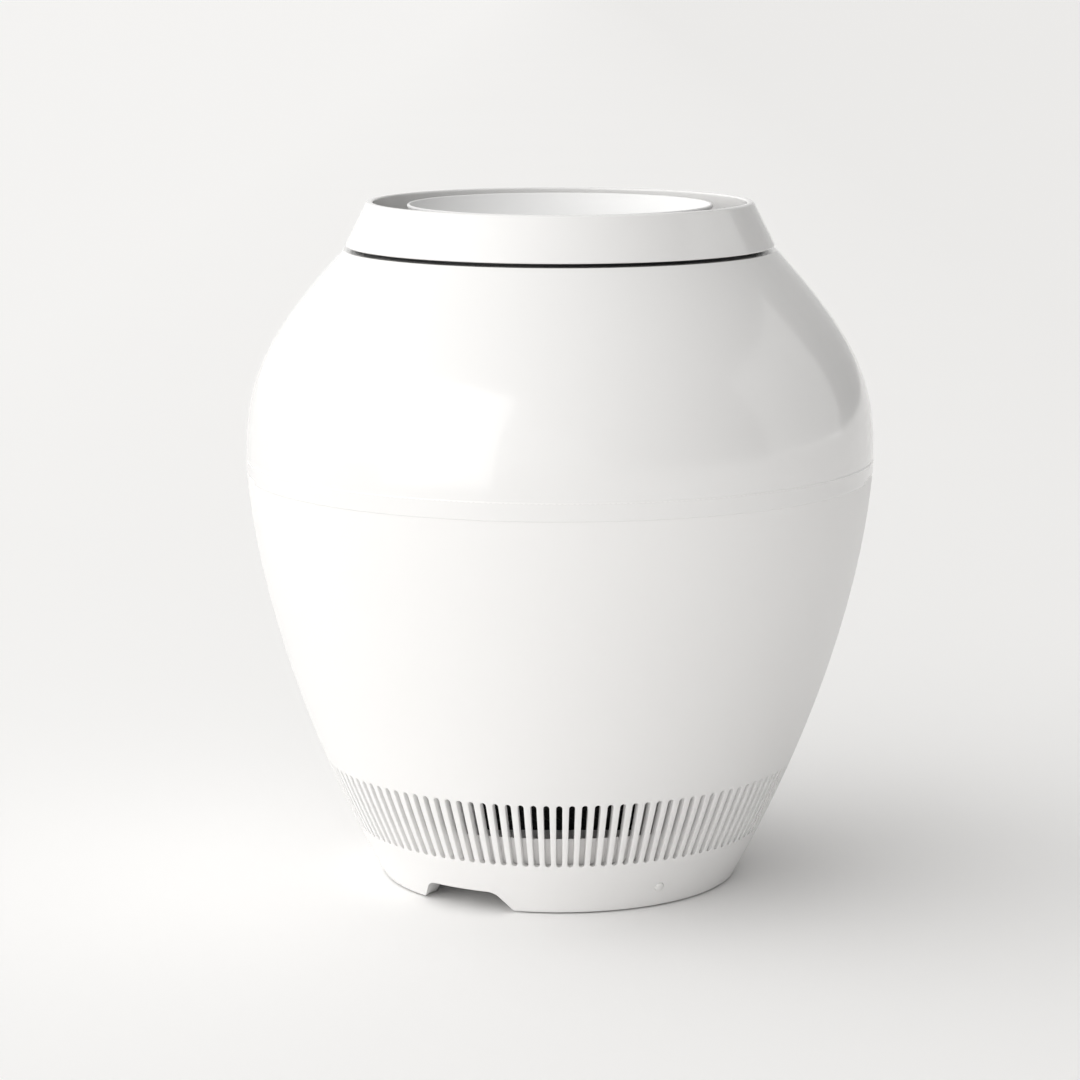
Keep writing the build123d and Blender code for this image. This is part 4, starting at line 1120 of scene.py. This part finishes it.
@dataclass
class PowerButton:
    """Domed push button that stands square to the wall near the foot."""

    shop: Workshop
    azimuth: float = 30.75
    height: float = 14.6 * MM
    radius: float = 3.0 * MM
    gap: float = 0.12 * MM
    proud: float = 1.8 * MM
    flange_radius: float = 4.1 * MM
    flange_height: float = 1.2 * MM
    stem_radius: float = 1.5 * MM
    stem_length: float = 2.4 * MM
    wall: float = 5.0 * MM
    bore_columns: int = 48

    def lean(self) -> float:
        """Lean of the wall from vertical at the button, in radians."""
        step = 0.001
        share = LOWER_WALL.share(self.height)
        below, above = LOWER_WALL.at(share - step), LOWER_WALL.at(share + step)
        return atan2(above[0] - below[0], above[1] - below[1])

    def seat_matrix(self) -> Matrix:
        """Place and turn of the button: its Z looks outward, square to the wall."""
        out = spot(self.azimuth, 1.0, 0.0)
        normal = out * cos(self.lean()) - Vector((0, 0, sin(self.lean())))
        turn = normal.to_track_quat("Z", "Y").to_matrix().to_4x4()
        place = spot(self.azimuth, LOWER_WALL.radius(self.height), self.height)
        return Matrix.Translation(place) @ turn

    def bore(self, shell: bpy.types.Object) -> None:
        """Cut the button's hole in a shell."""
        draft = Draft()
        turns = [tau * index / self.bore_columns for index in range(self.bore_columns)]
        reach = self.radius + self.gap
        outline = [Vector((reach * cos(t), reach * sin(t), -2 * self.wall)) for t in turns]
        draft.block(outline, Vector((0, 0, 3 * self.wall)))
        cutter = draft.piece("button_cutter")
        cutter.data.transform(self.seat_matrix())
        modifier = shell.modifiers.new("Bore", "BOOLEAN")
        modifier.operation = "DIFFERENCE"
        modifier.solver = "EXACT"
        modifier.object = cutter
        bpy.context.view_layer.update()
        graph = bpy.context.evaluated_depsgraph_get()
        data = bpy.data.meshes.new_from_object(shell.evaluated_get(graph))
        shell.modifiers.clear()
        shell.data = data
        bpy.data.objects.remove(cutter)

    def build(self) -> None:
        """Make the cap: stem, flange and a domed head."""
        dome = [
            (self.radius * sin(turn), self.proud * cos(turn) ** 0.9)
            for turn in (radians(step * 7.5) for step in range(12))
        ]
        section = [
            *dome,
            (self.radius, -0.1 * self.proud),
            (self.radius, -self.wall),
            (self.flange_radius, -self.wall),
            (self.flange_radius, -self.wall - self.flange_height),
            (self.stem_radius, -self.wall - self.flange_height),
            (self.stem_radius, -self.wall - self.flange_height - self.stem_length),
            (0.0, -self.wall - self.flange_height - self.stem_length),
        ]
        piece = self.shop.turned("button_cap_fine", section, "inner_white", 48)
        piece.data.transform(self.seat_matrix())
        self.shop.seat(piece, Body.BUTTON, "inner_white", "button_cap")


@dataclass
class UpperHousing:
    """Glossy upper shell with finger grips, its screw posts, and the outlet's guide vanes and grille.
    """

    shop: Workshop
    wall: float = 3.2 * MM
    lip_round: float = 0.9 * MM
    bore: float = 122.3 * MM
    grip_azimuths: tuple[float, float] = (-90.0, 90.0)
    grip_half_angle: float = 18.0
    grip_height: float = 2.7 * MM
    grip_fade: float = 30.0 * MM
    post_count: int = 6
    post_start: float = -60.0
    post_radius: float = 4.5 * MM
    post_bore: float = 1.5 * MM
    web: float = 3.0 * MM
    vane_count: int = 11
    vane_tilt: float = 32.0
    vane_thickness: float = 2.0 * MM
    hub: float = 92.0 * MM
    ring_wall: float = 2.4 * MM
    sleeve_inner: float = 118.9 * MM
    spokes: int = 36
    bar: float = 2.0 * MM
    spoke: float = 1.6 * MM

    def shell_section(self) -> Section:
        """Closed outline of the shell's wall."""
        low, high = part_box("upper_shell")[0].z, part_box("upper_shell")[1].z
        inner_top = UPPER_WALL.at(1.0, self.wall)
        corner = UPPER_WALL.at(1.0)
        outer = UPPER_WALL.run(low, UPPER_WALL.at(0.97)[1], 34)
        inner = UPPER_WALL.run(inner_top[1] - 0.01 * MM, low, 30, self.wall)
        lip = [corner, (self.bore, high), (self.bore, inner_top[1])]
        section = outer + lip + inner
        first = len(outer)
        last = len(section) - 1
        return rounded(
            section, {0: 0.25 * MM, first: self.lip_round, first + 1: 0.3 * MM, last: 0.25 * MM}, 3
        )

    def lift_grips(self, piece: bpy.types.Object) -> None:
        """Raise the rim over the two finger grips."""
        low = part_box("upper_shell")[0].z
        for vertex in piece.data.vertices:
            place = vertex.co
            rise = place.z - low
            if rise > self.grip_fade:
                continue
            azimuth = degrees(atan2(place.x, -place.y))
            if min(abs(azimuth - side) for side in self.grip_azimuths) > self.grip_half_angle:
                continue
            height = place.z + self.grip_height * (1 - rise / self.grip_fade)
            radius = hypot(place.x, place.y)
            radius += UPPER_WALL.radius(height) - UPPER_WALL.radius(place.z)
            vertex.co = spot(azimuth, radius, height)

    def posts(self) -> bpy.types.Object:
        """Screw posts inside the shell with the webs that tie them to its wall."""
        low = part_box("inlet_deck")[1].z
        deck_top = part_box("inlet_deck")[0].z + 3 * MM
        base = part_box("upper_shell")[0].z + self.grip_height + 0.6 * MM
        top = base + 14 * MM
        centre = UPPER_WALL.radius(WAIST[1] + 20 * MM, self.wall) - 14 * MM
        section = [
            (self.post_bore, min(deck_top, low)), (self.post_radius, deck_top),
            (self.post_radius, top), (self.post_bore * 0.9, top),
            (self.post_bore, deck_top + 10 * MM),
        ]
        draft = Draft()
        turns = [tau * index / 24 for index in range(24)]
        rows = [
            [Vector((radius * cos(t), radius * sin(t) - centre, height)) for t in turns]
            for radius, height in [*section, section[0]]
        ]
        draft.sheet(rows, closed=True)
        reach = UPPER_WALL.radius(base, self.wall / 2) - centre
        outline = [
            Vector((-self.web / 2, -centre - self.post_radius * 0.9, base)),
            Vector((self.web / 2, -centre - self.post_radius * 0.9, base)),
            Vector((self.web / 2, -centre - self.post_radius * 0.9, top)),
            Vector((-self.web / 2, -centre - self.post_radius * 0.9, top)),
        ]
        draft.block(outline, Vector((0, -(reach - self.post_radius), 0)))
        return self.shop.repeated(
            draft, "upper_shell_posts", "shell_gloss_white", self.post_count,
            self.post_start,
        )

    def vanes(self) -> bpy.types.Object:
        """Guide vanes between their two rings."""
        low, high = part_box("guide_vane_ring")[0].z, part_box("guide_vane_ring")[1].z
        rings = [
            self.shop.turned(
                f"vane_ring_{index}",
                rounded([(a, low), (b, low), (b, high), (a, high)], {2: 0.4 * MM, 3: 0.4 * MM}, 2),
                "inner_white",
            )
            for index, (a, b) in enumerate(
                (
                    (self.hub, self.hub + self.ring_wall),
                    (self.sleeve_inner - self.ring_wall, self.sleeve_inner),
                )
            )
        ]
        draft = Draft()
        middle, half = (low + high) / 2, (high - low - 1 * MM) / 2
        lean = Matrix.Rotation(radians(self.vane_tilt), 3, "Y")
        section = rounded(
            [(-self.vane_thickness / 2, -half), (self.vane_thickness / 2, -half),
             (self.vane_thickness / 2, half), (-self.vane_thickness / 2, half)],
            {index: 0.8 * MM for index in range(4)}, 3,
        )
        outline = [
            lean @ Vector((across, 0, height)) + Vector((0, -self.hub - 1 * MM, middle))
            for across, height in section
        ]
        draft.block(outline, Vector((0, -(self.sleeve_inner - self.hub - 2 * MM), 0)))
        blades = self.shop.repeated(draft, "vane_blades", "inner_white", self.vane_count)
        return self.shop.joined("guide_vanes_fine", [*rings, blades])

    def grille(self) -> bpy.types.Object:
        """Outlet grille: three rings and their spokes."""
        low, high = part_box("outlet_grille")[0].z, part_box("outlet_grille")[1].z
        inner = self.hub + 0.4 * MM + self.bar / 2
        outer = self.sleeve_inner - self.bar / 2
        rings = [
            self.shop.turned(
                f"grille_ring_{index}",
                rounded(
                    [(radius - self.bar / 2, low), (radius + self.bar / 2, low),
                     (radius + self.bar / 2, high), (radius - self.bar / 2, high)],
                    {2: 0.6 * MM, 3: 0.6 * MM}, 3,
                ),
                "inner_white",
            )
            for index, radius in enumerate((inner, (self.hub + self.sleeve_inner) / 2, outer))
        ]
        draft = Draft()
        section = rounded(
            [(-self.spoke / 2, low), (self.spoke / 2, low),
             (self.spoke / 2, high - 0.1 * MM), (-self.spoke / 2, high - 0.1 * MM)],
            {2: 0.5 * MM, 3: 0.5 * MM}, 3,
        )
        outline = [Vector((across, -inner, height)) for across, height in section]
        draft.block(outline, Vector((0, -(outer - inner), 0)))
        spokes = self.shop.repeated(draft, "grille_spokes", "inner_white", self.spokes)
        return self.shop.joined("outlet_grille_fine", [*rings, spokes])

    def build(self) -> None:
        """Make every piece of the housing that shows."""
        shell = self.shop.turned("upper_shell_fine", self.shell_section(), "shell_gloss_white", 360)
        self.lift_grips(shell)
        settle(shell)
        self.shop.seat(shell, Body.UPPER, "shell_gloss_white", "upper_shell")
        self.shop.seat(self.posts(), Body.UPPER, "shell_gloss_white")
        self.shop.seat(self.vanes(), Body.UPPER, "inner_white", "guide_vane_ring")
        self.shop.seat(self.grille(), Body.UPPER, "inner_white", "outlet_grille")


@dataclass
class SeamRing:
    """Pale rubber ring in the seam at the waist."""

    shop: Workshop

    def build(self) -> None:
        """Make the ring with a softly rounded outer face."""
        low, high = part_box("waist_gasket")
        inner = high.x - 2.3 * MM
        section = rounded(
            [(inner, low.z), (high.x, low.z), (high.x, high.z), (inner, high.z)],
            {1: 0.25 * MM, 2: 0.25 * MM}, 3,
        )
        piece = self.shop.turned("waist_gasket_fine", section, "seam_rubber", 360)
        self.shop.seat(piece, Body.LOWER, "seam_rubber", "waist_gasket")


@dataclass
class CrownRing:
    """Glossy cone-shaped ring round the outlet."""

    shop: Workshop
    top_radius: float = 119.4 * MM
    bore: float = 115.6 * MM
    wall: float = 3.2 * MM
    bore_wall: float = 2.5 * MM
    ceiling_drop: float = 10.0 * MM

    def build(self) -> None:
        """Make the ring's hollow section."""
        low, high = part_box("top_ring")
        bottom, crest, reach = low.z, high.z, high.x
        drop = (reach - self.top_radius) / (crest - bottom)
        skin = self.wall * sqrt(1 + drop**2)
        ceiling = crest - self.ceiling_drop
        corners = [
            (reach, bottom),
            (self.top_radius, crest),
            (self.bore, crest),
            (self.bore, bottom + 1.5 * MM),
            (self.bore + self.bore_wall, bottom + 1.5 * MM),
            (self.bore + self.bore_wall, ceiling),
            (reach - drop * (ceiling - bottom) - skin, ceiling),
            (reach - skin, bottom),
        ]
        radii = {0: 0.7 * MM, 1: 2.2 * MM, 2: 1.2 * MM, 3: 0.5 * MM, 4: 0.5 * MM, 7: 0.7 * MM}
        section = rounded(corners, radii, 8)
        piece = self.shop.turned("top_ring_fine", section, "shell_gloss_white", 360)
        self.shop.seat(piece, Body.CROWN, "shell_gloss_white", "top_ring")


@dataclass
class Dish:
    """Shallow lift-out dish in the middle of the crown."""

    shop: Workshop
    depth: float = 30.0 * MM
    wall: float = 2.4 * MM
    foot: float = 52.0 * MM
    foot_width: float = 3.0 * MM

    def build(self) -> None:
        """Make the bowl with its rounded rim, and the foot under it."""
        low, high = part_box("dish")
        rim, reach = high.z, high.x
        inner = reach - self.wall
        floor_low = rim - self.depth - self.wall
        floor_top = rim - self.depth
        inside = bezier_run(
            [(inner, rim), (inner - 6 * MM, rim - 0.62 * self.depth),
             (0.62 * inner, floor_top), (0.0, floor_top)],
            40,
        )
        outside = bezier_run(
            [(0.0, floor_low), (0.62 * reach, floor_low),
             (reach - 6 * MM, rim - 0.66 * self.depth), (reach, rim)],
            40,
        )
        bowl = inside + outside
        section = rounded(bowl, {0: 0.42 * self.wall, len(bowl) - 1: 0.42 * self.wall}, 5)
        body = self.shop.turned("dish_bowl", section, "dish_white", 360)
        foot = rounded(
            [(self.foot - self.foot_width, floor_low + 1.6 * MM),
             (self.foot - self.foot_width, low.z), (self.foot, low.z),
             (self.foot, floor_low + 2.2 * MM)],
            {1: 0.8 * MM, 2: 0.8 * MM}, 3,
        )
        ring = self.shop.turned("dish_foot", foot, "dish_white")
        piece = self.shop.joined("dish_fine", [body, ring])
        self.shop.seat(piece, Body.DISH, "dish_white", "dish")


@dataclass
class FilterNet:
    """Black plastic net that holds the carbon on the four sides of the cartridge."""

    shop: Workshop
    pitch: float = 8.0 * MM
    strand: float = 0.7 * MM
    depth: float = 0.45 * MM

    def cell(self) -> Draft:
        """One hexagonal cell of the net, facing the front."""
        draft = Draft()
        reach = self.pitch / sqrt(3)
        rows = []
        for radius, forward in (
            (reach, 0.0), (reach, -self.depth), (reach - self.strand, -self.depth),
            (reach - self.strand, 0.0), (reach, 0.0),
        ):
            turns = [radians(30 + 60 * step) for step in range(6)]
            rows.append([Vector((radius * cos(t), forward, radius * sin(t))) for t in turns])
        draft.sheet(rows, closed=True)
        return draft

    def build(self) -> None:
        """Fill one side with cells, then set the sides round the axis."""
        low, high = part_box("carbon_sheets")
        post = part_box("filter_corner_posts")[1].x
        width = 2 * (post - 29 * MM) - self.pitch
        row_pitch = self.pitch * sqrt(3) / 2
        columns = int(width / self.pitch)
        rows = int((high.z - low.z - self.pitch) / row_pitch)
        panel = self.cell().piece("carbon_net")
        left = -(columns - 0.5) * self.pitch / 2
        base = (low.z + high.z - (rows - 1) * row_pitch) / 2
        self.shop.grid.apply(
            panel, Columns=columns, Rows=rows, Pitch=self.pitch, Row_Pitch=row_pitch,
            Origin=(left, low.y - 0.02 * MM, base), Weld=self.shop.weld,
            Material=self.shop.paint["black_plastic"],
        )
        self.shop.ring.apply(
            panel, Count=4, Start_Angle=0.0, Weld=0.0, Material=self.shop.paint["black_plastic"]
        )
        panel.data.shade_flat()
        self.shop.seat(panel, Body.FILTER, "black_plastic")


# ---------------------------------------------------------------- studio
@dataclass(frozen=True)
class SoftBox:
    """Flat light panel that looks at the vessel and shows in its gloss."""

    name: str
    place: tuple[float, float, float]
    aim: tuple[float, float, float]
    size: tuple[float, float]
    radiance: float
    colour: tuple[float, float, float] = (1.0, 0.995, 0.985)

    def build(self) -> None:
        """Hang the panel."""
        data = bpy.data.lights.new(self.name, "AREA")
        data.shape = "RECTANGLE"
        data.size, data.size_y = self.size
        data.energy = self.radiance * pi * self.size[0] * self.size[1]
        data.color = self.colour
        lamp = bpy.data.objects.new(self.name, data)
        lamp.visible_diffuse = False
        lamp.location = self.place
        toward = Vector(self.aim) - Vector(self.place)
        lamp.rotation_euler = toward.to_track_quat("-Z", "Y").to_euler()
        bpy.context.scene.collection.objects.link(lamp)


@dataclass(frozen=True)
class WindowLight:
    """Broad even light from one side, too wide to have a shape in the gloss."""

    name: str
    azimuth: float
    elevation: float
    spread: float
    strength: float
    colour: tuple[float, float, float] = (1.0, 0.995, 0.985)

    def build(self) -> None:
        """Hang the light."""
        data = bpy.data.lights.new(self.name, "SUN")
        data.angle = radians(self.spread)
        data.energy = self.strength * pi
        data.color = self.colour
        lamp = bpy.data.objects.new(self.name, data)
        level = cos(radians(self.elevation))
        source = spot(self.azimuth, level, sin(radians(self.elevation)))
        lamp.rotation_euler = (-source).to_track_quat("-Z", "Y").to_euler()
        lamp.visible_glossy = False
        bpy.context.scene.collection.objects.link(lamp)


@dataclass
class Studio:
    """Camera, pale floor and soft lights."""

    camera_place: tuple[float, float, float] = (0.0, -2.080, 0.576)
    camera_tilt: float = 80.04
    camera_turn: float = 0.338
    focal_length: float = 111.97
    floor_radius: float = 48.0
    # floor_shade and floor_fade set a painted shade that darkens the floor towards +X.
    floor_colour: Colour = grey(0.955, 0.004)
    floor_shade: Colour = grey(0.875, 0.004)
    floor_fade: float = 1.6
    sky: float = 0.82
    sky_slope: float = 0.74
    lights: tuple = (
        WindowLight("window_light", -66.0, 28.0, 90.0, 0.22),
        WindowLight("front_fill", -4.0, 3.0, 40.0, 0.20),
        SoftBox("left_panel", (-1.25, -1.35, 0.85), (0.0, 0.0, 0.25), (1.5, 1.7), 1.35),
        SoftBox("right_panel", (1.75, 0.25, 0.85), (0.0, 0.0, 0.25), (1.5, 1.3), 0.5),
    )

    def camera(self) -> None:
        """Place the camera."""
        data = bpy.data.cameras.new("camera")
        data.lens = self.focal_length
        data.sensor_width = 36.0
        data.clip_start, data.clip_end = 0.05, 60.0
        holder = bpy.data.objects.new("camera", data)
        holder.location = self.camera_place
        holder.rotation_euler = (radians(self.camera_tilt), 0.0, radians(self.camera_turn))
        bpy.context.scene.collection.objects.link(holder)
        bpy.context.scene.camera = holder

    def surroundings(self) -> bpy.types.World:
        """Room light that falls off from the left to the right."""
        world = bpy.data.worlds.new("studio")
        world.use_nodes = True
        world.node_tree.nodes.clear()
        room = Graph(world.node_tree)
        direction = room.out(room.node("ShaderNodeTexCoord"), "Generated")
        across = room.out(room.node("ShaderNodeSeparateXYZ", inputs={"Vector": direction}), "X")
        light = room.node(
            "ShaderNodeBackground",
            inputs={"Color": (1.0, 0.994, 0.982, 1.0), "Strength": self.sky - across * self.sky_slope},
        )
        room.node("ShaderNodeOutputWorld", inputs={"Surface": room.out(light)})
        return world

    def floor(self) -> None:
        """Lay the floor, its colour darkened towards +X as painted shade for the light's falloff."""
        surface = Surface("floor_with_painted_shade")
        cloud = surface.noise(2.0, 3.0)
        across = surface.out(
            surface.node("ShaderNodeSeparateXYZ", inputs={"Vector": surface.place}), "X"
        )
        # Painted shade: the colour runs from floor_colour on the left to the darker floor_shade on the
        # right, standing in for the light falling off; the cloud noise adds a real random mottle.
        painted_falloff_and_mottle = across / self.floor_fade + 0.5 + (cloud - 0.5) * 0.1
        paint = surface.finish(
            Base_Color=surface.mix(painted_falloff_and_mottle, self.floor_colour, self.floor_shade),
            Roughness=0.75 + cloud * 0.1,
            Specular_IOR_Level=0.0,
            Normal=surface.relief(surface.noise(900.0), 0.00002),
        )
        draft = Draft()
        turns = [tau * index / 96 for index in range(96)]
        rows = [
            [Vector((reach * cos(t), reach * sin(t), 0.0)) for t in turns]
            for reach in (0.0, self.floor_radius / 8, self.floor_radius)
        ]
        draft.sheet(rows, closed=True)
        slab = draft.piece("floor", 1e-5)
        if slab.data.polygons[0].normal.z < 0:
            slab.data.flip_normals()
        slab.data.materials.append(paint)

    def build(self) -> None:
        """Set up the whole studio."""
        scene = bpy.context.scene
        scene.view_settings.view_transform = "Standard"
        scene.world = self.surroundings()
        self.camera()
        self.floor()
        for light in self.lights:
            light.build()


def main() -> None:
    """Build the studio, dress the CAD nodes and make the fine pieces in order."""
    logging.basicConfig(level=logging.INFO, format="%(message)s")
    Studio().build()
    paint = Paintbox(FINISHES)
    log.info("dressed %d nodes", paint.dress_nodes())
    shop = Workshop(paint)
    button = PowerButton(shop)
    SlottedWall(shop).build(button)
    button.build()
    SeamRing(shop).build()
    FilterNet(shop).build()
    UpperHousing(shop).build()
    CrownRing(shop).build()
    Dish(shop).build()


if __name__ == "__main__":
    main()
